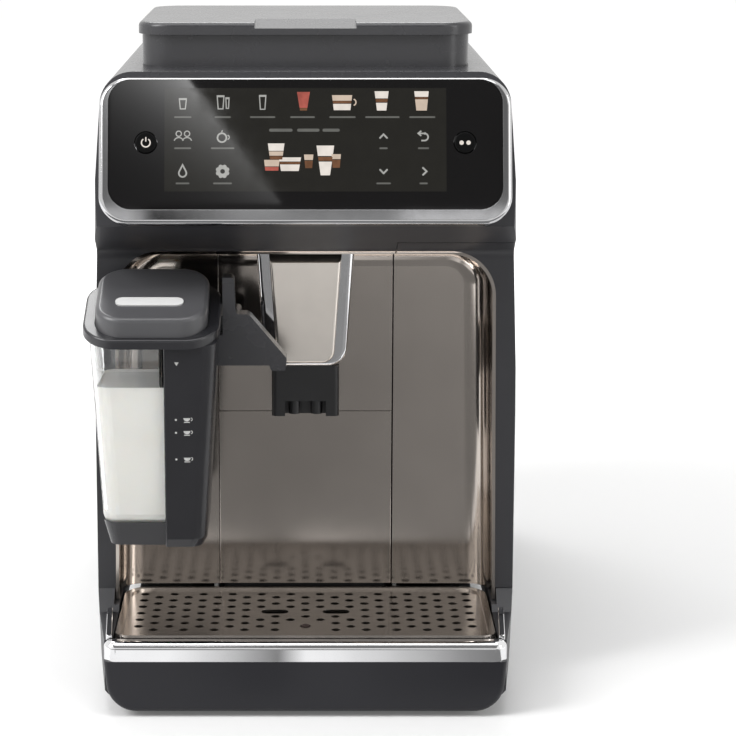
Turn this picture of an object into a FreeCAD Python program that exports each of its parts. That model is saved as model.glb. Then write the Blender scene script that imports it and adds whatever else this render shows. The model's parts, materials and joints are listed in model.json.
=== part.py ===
# A bean-to-cup coffee machine with a milk carafe, as an assembly of separate pieces.
# X runs to the right, Y to the back and Z up, in millimetres, with the feet on Z = 0.
# Depths are measured backwards from the drip tray's front face.

import FreeCAD
import Part
import math
import os

V = FreeCAD.Vector

# Clearances
SEAM = 0.4
FINE_SEAM = 0.2
SLIDE_GAP = 0.5
FIT_GAP = 0.4

# Body
BODY_DEPTH = 430.0
BODY_WIDTH = 247.0
HEAD_INSET = 3.9
DECK_INSET = 9.5
FRONT_INSET = 10.3
BULGE_Z = 150.0
BULGE_ROUND = 300.0
HEAD_SIDE_ROUND = 300.0
KNEE_RISE = 2.0
KNEE_DEPTH = 66.0
KNEE_ROUND = 8.0
JAMB_FOOT_DEPTH = 75.0
SHOULDER_DEPTH = 80.0
SHOULDER_ROUND = 80.0
WALL = 2.5
FRONT_WALL = 5.0
DECK_ROUND = 18.0
BACK_ROUND = 10.0
DECK_HEIGHT = 12.0
REAR_MARGIN = 12.0
REAR_THICK = 6.0
VENT_ROWS = 9
VENT_PITCH = 11.0
VENT_SLOT = 4.0
VENT_HALF = 62.0
VENT_DROP = 48.0
INLET_HALF = 15.0
INLET_HEIGHT = 24.0
INLET_DEPTH = 26.0
INLET_WALL = 3.0
PIN_PITCH = 7.0
INLET_FROM_PARTITION = 7.7

# Base
BASE_SEAM_Z = 54.0
BASE_LEAN = 3.0
BASE_ROUND = 16.0
PAN_LEAN = 7.0
PAN_ROUND = 24.0
BASE_WALL = 9.0
FOOT_HEIGHT = 4.0
FOOT_RADIUS = 10.0
FOOT_MARGIN = 35.5
FOOT_END = 40.0
FLOOR_TOP = 8.0
STRIP_WIDTH = 3.5
STRIP_RISE = 3.0

# Cup bay and its metallic liner
BAY_TOP = 256.0
JAMB = 2.5
BAY_TAPER = 3.2
BAY_ROUND = 25.0
BAY_BACK = 109.0
BAY_BACK_ROUND = 14.0
LINER = 2.0
LINER_SET_BACK = 0.8

# Drip tray, grate and grounds container
TRAY_OVERHANG = 1.3
TRAY_FRONT_DEPTH = 8.0
TRAY_FOOT = 3.0
TRAY_ROUND = 17.0
STRIP_HEIGHT = 11.0
STRIP_FILLET = 4.0
STRIP_OVER_TUB = 2.0
TUB_MARGIN = 5.5
TUB_FLOOR = 10.0
TUB_TOP = 42.0
TUB_WALL = 2.0
GRATE_THICK = 2.5
GRATE_RIM = 1.2
GRATE_RIM_WIDTH = 4.0
GRATE_ROUND = 7.0
GRATE_CORNER_GAP = 3.0
HOLE_RADIUS = 2.75
HOLE_PITCH = 17.5
HOLE_ROW_PITCH = 6.4
HOLE_START = 24.0
HOLE_MARGIN = 12.0
OVAL_X = 18.0
OVAL_DEPTH = 59.0
OVAL_HALF = 8.0
FLOAT_DEPTH = 31.0
FLOAT_RADIUS = 9.0
FLOAT_HEIGHT = 12.0
STEM_RADIUS = 2.4
BIN_BACK = 250.0
BIN_TOP = 150.0
BIN_GAP = 2.5
PANEL_OVER_BIN = 4.5

# Display head
DISPLAY_TILT = 16.0
HEAD_RISE = 25.0
HEAD_DEPTH = 14.0
BEZEL_OVERHANG = 1.2
BEZEL_HEIGHT = 82.0
BEZEL_THICK = 10.0
BEZEL_ROUND = 16.0
GLASS_MARGIN = 5.0
GLASS_LOW = 8.0
GLASS_TOP_MARGIN = 1.0
GLASS_THICK = 3.4
GLASS_SUNK = 0.6
BUTTON_MARGIN = 21.1
BUTTON_RISE = 45.5
BUTTON_RADIUS = 6.0
BUTTON_SUNK = 0.2
BUTTON_LENGTH = 5.8
WINDOW_MARGIN = 12.0
WINDOW_GAP = 2.3
MODULE_THICK = 7.0
DECK_LIP = 2.2

# Bean hopper and grinder
HOPPER_MARGIN = 20.1
HOPPER_FRONT = 79.0
HOPPER_LENGTH = 161.0
HOPPER_RISE = 18.0
HOPPER_ROUND = 18.0
RIM_DEPTH = 8.0
FUNNEL_DROP = 40.0
THROAT_HALF = 24.0
LID_THICK = 7.0
LID_GAP = 0.3
LID_OVERHANG = 2.0
LID_FRONT_OVERHANG = 3.0
TAB_HALF = 29.0
TAB_LENGTH = 34.0
TAB_DROP = 3.4
SEAL_WIDTH = 3.0
SEAL_HEIGHT = 2.0
KNOB_MARGIN = 27.9
KNOB_FROM_BACK = 32.0
KNOB_RADIUS = 11.0
KNOB_SEAT_RISE = 4.0
KNOB_HEIGHT = 8.5
GRIP_HEIGHT = 3.0
SPINDLE_RADIUS = 4.0
SPINDLE_LENGTH = 13.0
GRINDER_DEPTH = 160.0
GRINDER_RADIUS = 38.0
CASE_WALL = 4.0
BURR_THICK = 12.0
BURR_BORE = 17.0
DISC_THICK = 15.0
SHAFT_RADIUS = 5.0
MOTOR_RADIUS = 32.0
MOTOR_HEIGHT = 72.0
SHAFT_IN_MOTOR = 27.0

# Coffee spout
SPOUT_RISE = 2.0
SPOUT_DROP = 68.4
SPOUT_HALF = 28.4
SPOUT_TAPER = 4.6
SPOUT_DEPTH = 20.0
SPOUT_SLOPE = 6.0
SPOUT_SLOPE_DROP = 8.0
SPOUT_ROUND = 12.0
COVER_THICK = 5.0
COVER_INSET = 7.3
NOZZLE_HEIGHT = 30.0
NOZZLE_HALF = 19.7
NOZZLE_INSET = 3.0
NOTCH_HALF = 12.0
NOTCH_HEIGHT = 9.0
OUTLET_X = 6.5
OUTLET_RADIUS = 3.4
CARRIAGE_HALF = 12.0
CARRIAGE_HEIGHT = 40.0
RAIL_GAP = 6.0
RAIL_HALF = 14.0
TONGUE_HALF = 6.0
TONGUE_DEPTH = 4.0
RAIL_DROP = 28.0
POCKET_GAP = 3.0

# Milk carafe
CARAFE_OVERHANG = 0.5
CARAFE_FROM_SPOUT = 18.9
CARAFE_FRONT = -4.0
CARAFE_DEPTH = 66.0
COLUMN_WIDTH = 31.2
COLUMN_TAPER = 8.0
COLUMN_LEAN = 5.0
COLUMN_INSET = 2.0
COLUMN_ROUND = 8.0
COLUMN_EDGE = 1.0
COLUMN_HEEL = 5.0
LID_CLEARANCE = 4.5
LID_SLOPE = 22.5
LID_FRONT_HEIGHT = 15.0
LID_EDGE = 3.0
COLLAR_WALL = 6.5
COLLAR_END = 3.0
COLLAR_HEIGHT = 5.0
COLLAR_EDGE = 1.5
CARAFE_LID_ROUND = 17.0
JUG_HEIGHT = 104.0
JUG_WALL = 1.8
JUG_BOTTOM = 3.0
JUG_INSET = 4.2
JUG_TAPER = 6.0
JUG_ROUND = 10.0
JUG_HEEL = 6.0
CRADLE_RISE = 3.0
FOOT_BLOCK = 11.0
SLOT_HALF = 19.0
SLOT_WIDTH = 9.0
SLOT_FROM_FRONT = 22.0
SLOT_SHIFT = 1.2
SLOT_DEPTH = 2.0
ARM_TIP_X = -10.5
ARM_LOW = 17.5
ARM_HIGH = 12.0
ARM_THICK = 14.0
ARM_ROOT = 6.0
ARM_INSET = 10.0
ARM_ROUND = 5.0
ARM_SHOULDER = 8.5
NECK_HIGH = 33.0
NECK_WIDTH = 6.4
TIP_WIDTH = 10.0
TIP_DROP = 3.0
TIP_HEIGHT = 4.0
DOCK_REACH = 2.3
DOCK_INSET = 3.0
DOCK_HALF = 8.0
DOCK_FROM_BACK = 19.0
SPIGOT_RADIUS = 5.0
SPIGOT_WALL = 3.0
SPIGOT_LENGTH = 12.0
BOSS_WALL = 1.5
BOSS_HEIGHT = 3.0

# Water tank
TANK_FROM_SEAM = 4.0
TANK_FROM_SIDE = 12.5
TANK_BACK = 330.0
TANK_OVER_BASE = 8.0
TANK_UNDER_SHELF = 12.0
TANK_ROUND = 6.0
TANK_WALL = 2.0
SEAM_OVER_BAY = 9.0
VALVE_RISE = 12.0
VALVE_RADIUS = 6.0
VALVE_BORE = 3.0
VALVE_LENGTH = 12.0
FILTER_RADIUS = 18.0
FILTER_HEIGHT = 90.0
FILTER_FROM_BACK = 45.0
SOCKET_DEPTH = 20.0
SOCKET_HALF = 13.0

# Works inside the body
SHELF_GAP = 4.0
SHELF_THICK = 3.0
SHELF_MARGIN = 10.5
PARTITION = 2.3
BREW_GAP = 11.0
BREW_HALF = 40.0
BREW_DEPTH = 64.0
BREW_TOP = 175.0
PISTON_RADIUS = 22.0
PISTON_LOW = 100.0
PISTON_HEIGHT = 50.0
PISTON_STEM = 50.0
STEM_OF_PISTON_RADIUS = 8.0
BREW_MOTOR_RADIUS = 18.0
BREW_MOTOR_TOP = 84.0
PUMP_RADIUS = 18.0
PUMP_Z = 40.0
PUMP_DEPTH = 290.0
PUMP_LENGTH = 80.0
SADDLE_INSET = 10.0
BOILER_RADIUS = 24.0
BOILER_LOW = 70.0
BOILER_HEIGHT = 120.0
BOILER_DEPTH = 160.0
BRACKET_HALF = 10.0
METER_HALF = 14.0
METER_TOP = 34.0
HOSE_RADIUS = 4.0
HOSE_Z = 26.0
BOARD_MARGIN = 37.5
BOARD_FROM_HOPPER = 22.0
BOARD_FROM_BACK = 30.0
BOARD_THICK = 2.0
BOARD_LEG = 4.0
CHIP_INSET = 28.0
CHIP_LENGTH = 42.0
CHIP_HEIGHT = 16.0

# Places that follow from the sizes above
LEAN = math.radians(DISPLAY_TILT)
FAR = 2 * BODY_DEPTH
FRONT_Y = -(BODY_DEPTH + CARAFE_FRONT) / 2
BASE_HALF = BODY_WIDTH / 2
HEAD_HALF = BASE_HALF - HEAD_INSET
DECK_HALF = BASE_HALF - DECK_INSET
FRONT_HALF = BASE_HALF - FRONT_INSET
REAR_HALF = BASE_HALF - REAR_MARGIN
BAY_HALF_LOW = FRONT_HALF - JAMB
BAY_HALF_HIGH = BAY_HALF_LOW - BAY_TAPER
KNEE_Z = BAY_TOP + KNEE_RISE
HEAD_Z = BAY_TOP + HEAD_RISE
NOSE_Z = HEAD_Z - BEZEL_THICK * math.sin(LEAN)
NOSE_DEPTH = HEAD_DEPTH + BEZEL_THICK * math.cos(LEAN)
DECK_Z = HEAD_Z + BEZEL_HEIGHT * math.cos(LEAN) + DECK_LIP
DECK_SPLIT_Z = DECK_Z - DECK_HEIGHT
INLET_Z = BASE_SEAM_Z + BASE_WALL + 1

TRAY_HALF = FRONT_HALF + TRAY_OVERHANG
TRAY_STRIP_TOP = TUB_TOP + STRIP_OVER_TUB
TRAY_STRIP_Z = TRAY_STRIP_TOP - STRIP_HEIGHT
TUB_HALF = TRAY_HALF - TUB_MARGIN
TUB_BACK = BAY_BACK - 2 * SLIDE_GAP
GRATE_TOP = TUB_TOP + GRATE_THICK + GRATE_RIM
LINER_FOOT = GRATE_TOP + TRAY_OVERHANG
PANEL_SPLIT_Z = BIN_TOP + PANEL_OVER_BIN

BEZEL_HALF = FRONT_HALF + BEZEL_OVERHANG
GLASS_HALF = BEZEL_HALF - GLASS_MARGIN
GLASS_HIGH = BEZEL_HEIGHT - GLASS_TOP_MARGIN
BUTTON_X = GLASS_HALF - BUTTON_MARGIN
WINDOW_HALF = BUTTON_X - BUTTON_RADIUS - WINDOW_GAP

HOPPER_HALF = DECK_HALF - HOPPER_MARGIN
HOPPER_BACK = HOPPER_FRONT + HOPPER_LENGTH
HOPPER_TOP = DECK_Z + HOPPER_RISE
FUNNEL_Z = DECK_Z - RIM_DEPTH
THROAT_Z = FUNNEL_Z - FUNNEL_DROP
LID_LOW = HOPPER_TOP + LID_GAP
LID_TOP = LID_LOW + LID_THICK
KNOB_X = HOPPER_HALF - KNOB_MARGIN
KNOB_DEPTH = HOPPER_BACK - KNOB_FROM_BACK
KNOB_SEAT = DECK_Z + KNOB_SEAT_RISE
SHELF_Z = BAY_TOP + LINER + SHELF_GAP
SHELF_TOP = SHELF_Z + SHELF_THICK

SPOUT_TOP = BAY_TOP + SPOUT_RISE
SPOUT_FRAME_LOW = BAY_TOP - SPOUT_DROP
NOZZLE_LOW = SPOUT_FRAME_LOW - NOZZLE_HEIGHT
RAIL_FRONT = BAY_BACK - TONGUE_DEPTH - RAIL_GAP - 1
RAIL_LOW = SPOUT_FRAME_LOW - RAIL_DROP
RAIL_TOP = BAY_TOP - BAY_BACK_ROUND - 1
SPOUT_BACK = RAIL_FRONT - RAIL_GAP
SPOUT_FRONT = SPOUT_BACK - SPOUT_DEPTH

CARAFE_LEFT = -(BASE_HALF + CARAFE_OVERHANG)
CARAFE_RIGHT = -(SPOUT_HALF + CARAFE_FROM_SPOUT)
CARAFE_BACK = CARAFE_FRONT + CARAFE_DEPTH
CARAFE_SPLIT_X = CARAFE_RIGHT - COLUMN_WIDTH
LID_BACK_Z = BAY_TOP - LID_CLEARANCE
LID_FRONT_Z = LID_BACK_Z - LID_SLOPE
JUG_TOP = LID_FRONT_Z - LID_FRONT_HEIGHT
JUG_FLOOR = JUG_TOP - JUG_HEIGHT
CARAFE_FOOT = JUG_FLOOR - FOOT_BLOCK
DOCK_X = CARAFE_RIGHT + DOCK_REACH
DOCK_Z = JUG_TOP - SLOT_DEPTH
DOCK_BACK = BAY_BACK - DOCK_FROM_BACK

LINER_SEAM_X = SPIGOT_RADIUS + BOSS_WALL + SLIDE_GAP - DOCK_X
BIN_HALF = LINER_SEAM_X - BIN_GAP
TANK_LEFT = LINER_SEAM_X + TANK_FROM_SEAM
TANK_RIGHT = BASE_HALF - TANK_FROM_SIDE
TANK_FLOOR = BASE_SEAM_Z + TANK_OVER_BASE
TANK_TOP = SHELF_Z - TANK_UNDER_SHELF
TANK_SEAM_Z = BAY_TOP + SEAM_OVER_BAY
VALVE_X = (TANK_LEFT + TANK_RIGHT) / 2
VALVE_Z = TANK_FLOOR + VALVE_RISE
INLET_X = -(LINER_SEAM_X + PARTITION + INLET_HALF + INLET_FROM_PARTITION)
WORKS_X = -(LINER_SEAM_X + PARTITION + BASE_HALF - WALL) / 2


def at(depth):
    return FRONT_Y + depth


def box(x0, x1, d0, d1, z0, z1):
    return Part.makeBox(x1 - x0, d1 - d0, z1 - z0, V(x0, at(d0), z0))


def outline(corners, place):
    """A closed wire through (u, v, corner radius) corners, put into space by place(u, v)."""
    starts, ends, middles = [], [], []
    count = len(corners)
    for i in range(count):
        u, v, radius = corners[i]
        corner = V(u, v, 0)
        before = V(*corners[i - 1][:2], 0) - corner
        after = V(*corners[(i + 1) % count][:2], 0) - corner
        before.normalize()
        after.normalize()
        half = before.getAngle(after) / 2
        reach = radius / math.tan(half)
        starts.append(corner + before * reach)
        ends.append(corner + after * reach)
        inward = before + after
        if inward.Length > 1e-9:
            inward.normalize()
        middles.append(corner + inward * (radius / math.sin(half) - radius))
    edges = []
    for i in range(count):
        first = place(ends[i - 1].x, ends[i - 1].y)
        last = place(starts[i].x, starts[i].y)
        if (last - first).Length > 1e-6:
            edges.append(Part.LineSegment(first, last).toShape())
        if corners[i][2] > 0:
            middle = place(middles[i].x, middles[i].y)
            far_end = place(ends[i].x, ends[i].y)
            edges.append(Part.Arc(last, middle, far_end).toShape())
    return Part.Wire(edges)


def prism_x(corners, x0, x1):
    wire = outline(corners, lambda depth, z: V(x0, at(depth), z))
    return Part.Face(wire).extrude(V(x1 - x0, 0, 0))


def prism_y(corners, d0, d1):
    wire = outline(corners, lambda x, z: V(x, at(d0), z))
    return Part.Face(wire).extrude(V(0, d1 - d0, 0))


def prism_z(corners, z0, z1):
    wire = outline(corners, lambda x, depth: V(x, at(depth), z0))
    return Part.Face(wire).extrude(V(0, 0, z1 - z0))


def rect(u0, u1, v0, v1, radius):
    return [(u0, v0, radius), (u1, v0, radius), (u1, v1, radius), (u0, v1, radius)]


def rounded_level(x0, x1, d0, d1, radius, z):
    return outline(rect(x0, x1, d0, d1, radius), lambda x, depth: V(x, at(depth), z))


def loft(low, high):
    return Part.makeLoft([low, high], True, True)


def post(radius, x, depth, z0, z1):
    return Part.makeCylinder(radius, z1 - z0, V(x, at(depth), z0), V(0, 0, 1))


def rod_y(radius, x, z, d0, d1):
    return Part.makeCylinder(radius, d1 - d0, V(x, at(d0), z), V(0, 1, 0))


def fillet(shape, radius, chosen):
    return shape.makeFillet(radius, [e for e in shape.Edges if chosen(e)])


def edge_at(edge, **fixed):
    """True where every vertex of the edge has the given x, depth or z."""
    for vertex in edge.Vertexes:
        place = {"x": vertex.X, "depth": vertex.Y - FRONT_Y, "z": vertex.Z}
        for name, value in fixed.items():
            if abs(place[name] - value) > 0.01:
                return False
    return True


def save(name, shape):
    shape = shape.removeSplitter()
    if not shape.isValid() or not shape.Solids:
        raise ValueError(name + " is not a valid solid")
    shape.exportStep("parts/" + name + ".step")
    size = shape.BoundBox
    lengths = f"{size.XLength:.1f} x {size.YLength:.1f} x {size.ZLength:.1f}"
    print(f"{name}: {len(shape.Solids)} solid, {lengths}")


# Housing shell and the panels it comes apart into


def plan_block(front_half, front, inset, z0, z1):
    """The plan that body and base share: narrow at the front, full width from the shoulders back."""
    half = BASE_HALF - inset
    back = BODY_DEPTH - inset
    corners = [
        (-front_half + inset, front, 0),
        (front_half - inset, front, 0),
        (half, SHOULDER_DEPTH, SHOULDER_ROUND),
        (half, back, BACK_ROUND - inset),
        (-half, back, BACK_ROUND - inset),
        (-half, SHOULDER_DEPTH, SHOULDER_ROUND),
    ]
    return prism_z(corners, z0, z1)


def body_block(inset):
    """The body between the base seam and the deck, shrunk by inset on every side but the foot."""
    low = BASE_HALF - inset
    middle = HEAD_HALF - inset
    high = DECK_HALF - inset
    top = DECK_Z - inset
    corners = [
        (-low, BASE_SEAM_Z, 0),
        (low, BASE_SEAM_Z, 0),
        (low, BULGE_Z, BULGE_ROUND),
        (middle, KNEE_Z, HEAD_SIDE_ROUND),
        (high, top, DECK_ROUND - inset),
        (-high, top, DECK_ROUND - inset),
        (-middle, KNEE_Z, HEAD_SIDE_ROUND),
        (-low, BULGE_Z, BULGE_ROUND),
    ]
    back = BODY_DEPTH - inset
    block = prism_y(corners, 0, back)
    block = fillet(
        block,
        BACK_ROUND - inset,
        lambda e: edge_at(e, depth=back) and not edge_at(e, z=BASE_SEAM_Z),
    )
    return block.common(plan_block(FRONT_HALF, 0, inset, 0, FAR))


def side_view(inset):
    """The body from the side, moved back by inset: a jamb, a nose over it and a leaning head."""
    top = DECK_Z + FRONT_WALL
    top_depth = NOSE_DEPTH + (top - NOSE_Z) * math.tan(LEAN)
    jamb_slope = (JAMB_FOOT_DEPTH - KNEE_DEPTH) / (KNEE_Z - BASE_SEAM_Z)
    foot_depth = JAMB_FOOT_DEPTH + BASE_SEAM_Z * jamb_slope
    corners = [
        (foot_depth + inset, 0, 0),
        (KNEE_DEPTH + inset, KNEE_Z, KNEE_ROUND),
        (NOSE_DEPTH + inset, NOSE_Z, 0),
        (top_depth + inset, top, 0),
        (FAR, top, 0),
        (FAR, 0, 0),
    ]
    return prism_x(corners, -FAR, FAR)


def bay_block(grow, foot=LINER_FOOT):
    """The cup bay's hollow, grown by the liner's thickness for the liner's outside."""
    low = BAY_HALF_LOW + grow
    high = BAY_HALF_HIGH + grow
    round_top = BAY_ROUND + grow
    corners = [
        (-low, foot, 0),
        (low, foot, 0),
        (high, BAY_TOP + grow, round_top),
        (-high, BAY_TOP + grow, round_top),
    ]
    back = BAY_BACK + grow
    block = prism_y(corners, 0, back)
    return fillet(
        block,
        BAY_BACK_ROUND + grow,
        lambda e: edge_at(e, depth=back) and not edge_at(e, z=foot),
    )


def tank_zone(gap):
    """Where the tank's front comes out of the body, to the right of the liner seam."""
    low, high = BASE_SEAM_Z + gap, TANK_SEAM_Z - gap
    return box(LINER_SEAM_X + gap, FAR, -FAR, BAY_BACK + LINER, low, high)


def spout_pocket():
    half = SPOUT_HALF + POCKET_GAP
    back = RAIL_FRONT + RAIL_GAP
    return box(-half, half, SPOUT_FRONT - POCKET_GAP, back, BAY_TOP - SPOUT_ROUND, DECK_SPLIT_Z)


def housing():
    shell = body_block(0).common(side_view(0))
    shell = shell.cut(body_block(WALL).common(side_view(FRONT_WALL)))
    front_zone = side_view(0).cut(side_view(FRONT_WALL))
    top_zone = box(-FAR, FAR, -FAR, FAR, DECK_SPLIT_Z, FAR)
    rear_zone = box(-REAR_HALF, REAR_HALF, BODY_DEPTH - REAR_THICK, FAR, 0, DECK_SPLIT_Z)
    right_zone = box(0, FAR, -FAR, FAR, 0, DECK_SPLIT_Z)

    deck = shell.common(top_zone)
    save("top_deck", deck.cut(hopper_block(0)))

    below = shell.cut(top_zone)
    cuts = [bay_block(LINER), tank_zone(0), head_window(), spout_pocket()]
    save("front_fascia", below.common(front_zone).cut(cuts))

    jamb = below.common(front_zone).common(tank_zone(SEAM))
    save("tank_jamb", jamb.cut(bay_block(LINER)))

    rear = below.common(rear_zone).cut(front_zone)
    save("rear_panel", rear.cut(vent_slots() + [inlet_block()]))

    right = below.cut([front_zone, rear_zone]).common(right_zone)
    save("right_side_panel", right)
    save("left_side_panel", right.mirror(V(0, 0, 0), V(1, 0, 0)))


def vent_slots():
    slots = []
    top = DECK_SPLIT_Z - VENT_DROP
    for row in range(VENT_ROWS):
        high = top - row * VENT_PITCH
        slot = rect(-VENT_HALF, VENT_HALF, high - VENT_SLOT, high, VENT_SLOT / 2 - 0.1)
        slots.append(prism_y(slot, BODY_DEPTH - 2 * REAR_THICK, FAR))
    return slots


def inlet_block():
    left, right = INLET_X - INLET_HALF, INLET_X + INLET_HALF
    sides = rect(left, right, INLET_Z, INLET_Z + INLET_HEIGHT, INLET_WALL)
    return prism_y(sides, BODY_DEPTH - INLET_DEPTH, BODY_DEPTH)


def mains_inlet():
    half = INLET_HALF - INLET_WALL
    low, high = INLET_Z + INLET_WALL, INLET_Z + INLET_HEIGHT - INLET_WALL
    floor = BODY_DEPTH - INLET_DEPTH + 2 * INLET_WALL
    mouth = rect(INLET_X - half, INLET_X + half, low, high, INLET_WALL)
    pocket = prism_y(mouth, floor, FAR)
    middle = (low + high) / 2
    pins = []
    for step in (-1, 0, 1):
        x = INLET_X + step * PIN_PITCH
        pins.append(box(x - 1, x + 1, floor - 1, BODY_DEPTH - RIM_DEPTH, middle - 2.5, middle + 2.5))
    save("mains_inlet", inlet_block().cut(pocket).fuse(pins))


# Base


def base_pan():
    corners = [
        (-BASE_HALF + PAN_LEAN, FOOT_HEIGHT, PAN_ROUND),
        (BASE_HALF - PAN_LEAN, FOOT_HEIGHT, PAN_ROUND),
        (BASE_HALF, BASE_SEAM_Z, 0),
        (-BASE_HALF, BASE_SEAM_Z, 0),
    ]
    front = TRAY_FRONT_DEPTH + 2 * SLIDE_GAP
    pan = prism_y(corners, 0, BODY_DEPTH)
    pan = pan.common(plan_block(TRAY_HALF, front, 0, 0, BASE_SEAM_Z))
    ledge = TRAY_STRIP_TOP - 2 * SLIDE_GAP
    step = [
        (-BASE_WALL, ledge, 0),
        (strip_back(), ledge, 0),
        (JAMB_FOOT_DEPTH, BASE_SEAM_Z, 0),
        (JAMB_FOOT_DEPTH, FAR, 0),
        (-BASE_WALL, FAR, 0),
    ]
    tub_half = TUB_HALF + 2 * SLIDE_GAP
    room_half = BASE_HALF - BASE_WALL
    tray_bay = box(-tub_half, tub_half, -BASE_WALL, BIN_BACK + REAR_THICK, FLOOR_TOP, FAR)
    room_front = BAY_BACK + LINER + REAR_THICK
    inside = box(-room_half, room_half, room_front, BODY_DEPTH - WALL, FLOOR_TOP, FAR)
    liner_room = bay_block(LINER + SLIDE_GAP, LINER_FOOT - SLIDE_GAP)
    pan = pan.cut([prism_x(step, -FAR, FAR), tray_bay, inside, liner_room])
    save("base_pan", pan)


def strip_back():
    return JAMB_FOOT_DEPTH - BASE_ROUND + FOOT_HEIGHT


def base_strips():
    front = TRAY_FRONT_DEPTH + 2 * SLIDE_GAP
    back = strip_back() - SLIDE_GAP
    low = TRAY_STRIP_TOP - 2 * SLIDE_GAP
    spread = (back - front) * FRONT_INSET / SHOULDER_DEPTH / 2
    outer = TRAY_HALF - 2 * SLIDE_GAP
    for name, side in (("base_strip_left", -1), ("base_strip_right", 1)):
        corners = [
            (side * (outer - STRIP_WIDTH), front, 0),
            (side * outer, front, 0),
            (side * (outer + spread), back, 0),
            (side * (outer + spread - STRIP_WIDTH), back, 0),
        ]
        save(name, prism_z(corners, low, low + STRIP_RISE))


def rubber_feet():
    feet = []
    x = BASE_HALF - FOOT_MARGIN
    for side in (-x, x):
        for depth in (FOOT_END, BODY_DEPTH - FOOT_END):
            feet.append(post(FOOT_RADIUS, side, depth, 0, FOOT_HEIGHT))
    save("rubber_feet", Part.makeCompound(feet))


# Cup bay


def liner():
    shell = bay_block(LINER).cut(bay_block(0)).common(side_view(LINER_SET_BACK))
    centre = LINER_SEAM_X - SEAM
    left = box(-FAR, -LINER_SEAM_X, -FAR, FAR, 0, FAR)
    right = box(LINER_SEAM_X + SEAM, FAR, -FAR, FAR, 0, FAR)
    high = box(-centre, centre, -FAR, FAR, PANEL_SPLIT_Z, FAR)
    low = box(-centre, centre, -FAR, FAR, 0, PANEL_SPLIT_Z - FINE_SEAM)
    save("bay_left_panel", shell.common(left))
    save("bay_upper_panel", shell.common(high).cut(spout_pocket()).fuse(spigot_boss()))
    save("grounds_panel", shell.common(low))
    save("tank_liner", shell.common(right))


def spigot_boss():
    return rod_y(SPIGOT_RADIUS + BOSS_WALL, DOCK_X, DOCK_Z, BAY_BACK - BOSS_HEIGHT, BAY_BACK + LINER)


def hot_water_spigot():
    tip = DOCK_BACK - SPIGOT_LENGTH
    root = BAY_BACK - BOSS_HEIGHT
    tube = rod_y(SPIGOT_RADIUS, DOCK_X, DOCK_Z, tip, root)
    bore = rod_y(SPIGOT_RADIUS - SPIGOT_WALL, DOCK_X, DOCK_Z, tip - SPIGOT_WALL, root - SPIGOT_WALL)
    save("hot_water_spigot", tube.cut(bore))


def spout_rail():
    plate = box(-RAIL_HALF, RAIL_HALF, RAIL_FRONT + TONGUE_DEPTH, BAY_BACK, RAIL_LOW, RAIL_TOP)
    tongue = box(-TONGUE_HALF, TONGUE_HALF, RAIL_FRONT, BAY_BACK, RAIL_LOW, RAIL_TOP)
    save("spout_guide_rail", plate.fuse(tongue))


# Drip tray


def tray_front():
    low_half = TRAY_HALF - BASE_LEAN
    corners = [
        (-low_half, TRAY_FOOT, TRAY_ROUND),
        (low_half, TRAY_FOOT, TRAY_ROUND),
        (TRAY_HALF, TRAY_STRIP_Z, 0),
        (-TRAY_HALF, TRAY_STRIP_Z, 0),
    ]
    panel = prism_y(corners, 0, TRAY_FRONT_DEPTH)
    front_edges = lambda e: edge_at(e, depth=0) and not edge_at(e, z=TRAY_STRIP_Z)
    save("tray_front_panel", fillet(panel, BASE_LEAN, front_edges))
    plan = rect(-TRAY_HALF, TRAY_HALF, 0, 3 * TRAY_FRONT_DEPTH, GRATE_ROUND)
    strip = prism_z(plan, TRAY_STRIP_Z, TRAY_STRIP_TOP)
    strip = strip.common(box(-FAR, FAR, -1, TRAY_FRONT_DEPTH, 0, FAR))
    top_edges = lambda e: edge_at(e, z=TRAY_STRIP_TOP) and not edge_at(e, depth=TRAY_FRONT_DEPTH)
    save("tray_chrome_strip", fillet(strip, STRIP_FILLET, top_edges))


def tray_tub():
    front = TRAY_FRONT_DEPTH
    half = TUB_HALF - TUB_WALL
    tub = prism_z(rect(-TUB_HALF, TUB_HALF, front, TUB_BACK, 2 * TUB_WALL), TUB_FLOOR, TUB_TOP)
    plan = rect(-half, half, front + TUB_WALL, TUB_BACK - TUB_WALL, TUB_WALL)
    room = prism_z(plan, TUB_FLOOR + TUB_WALL, FAR)
    sled = box(-BIN_HALF, BIN_HALF, TUB_BACK - 1, BIN_BACK, TUB_FLOOR, TUB_FLOOR + TUB_WALL)
    link = box(-BIN_HALF, BIN_HALF, front, front + 1, TUB_FLOOR, TUB_TOP)
    save("tray_tub", tub.cut(room).fuse([sled, link]))


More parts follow.
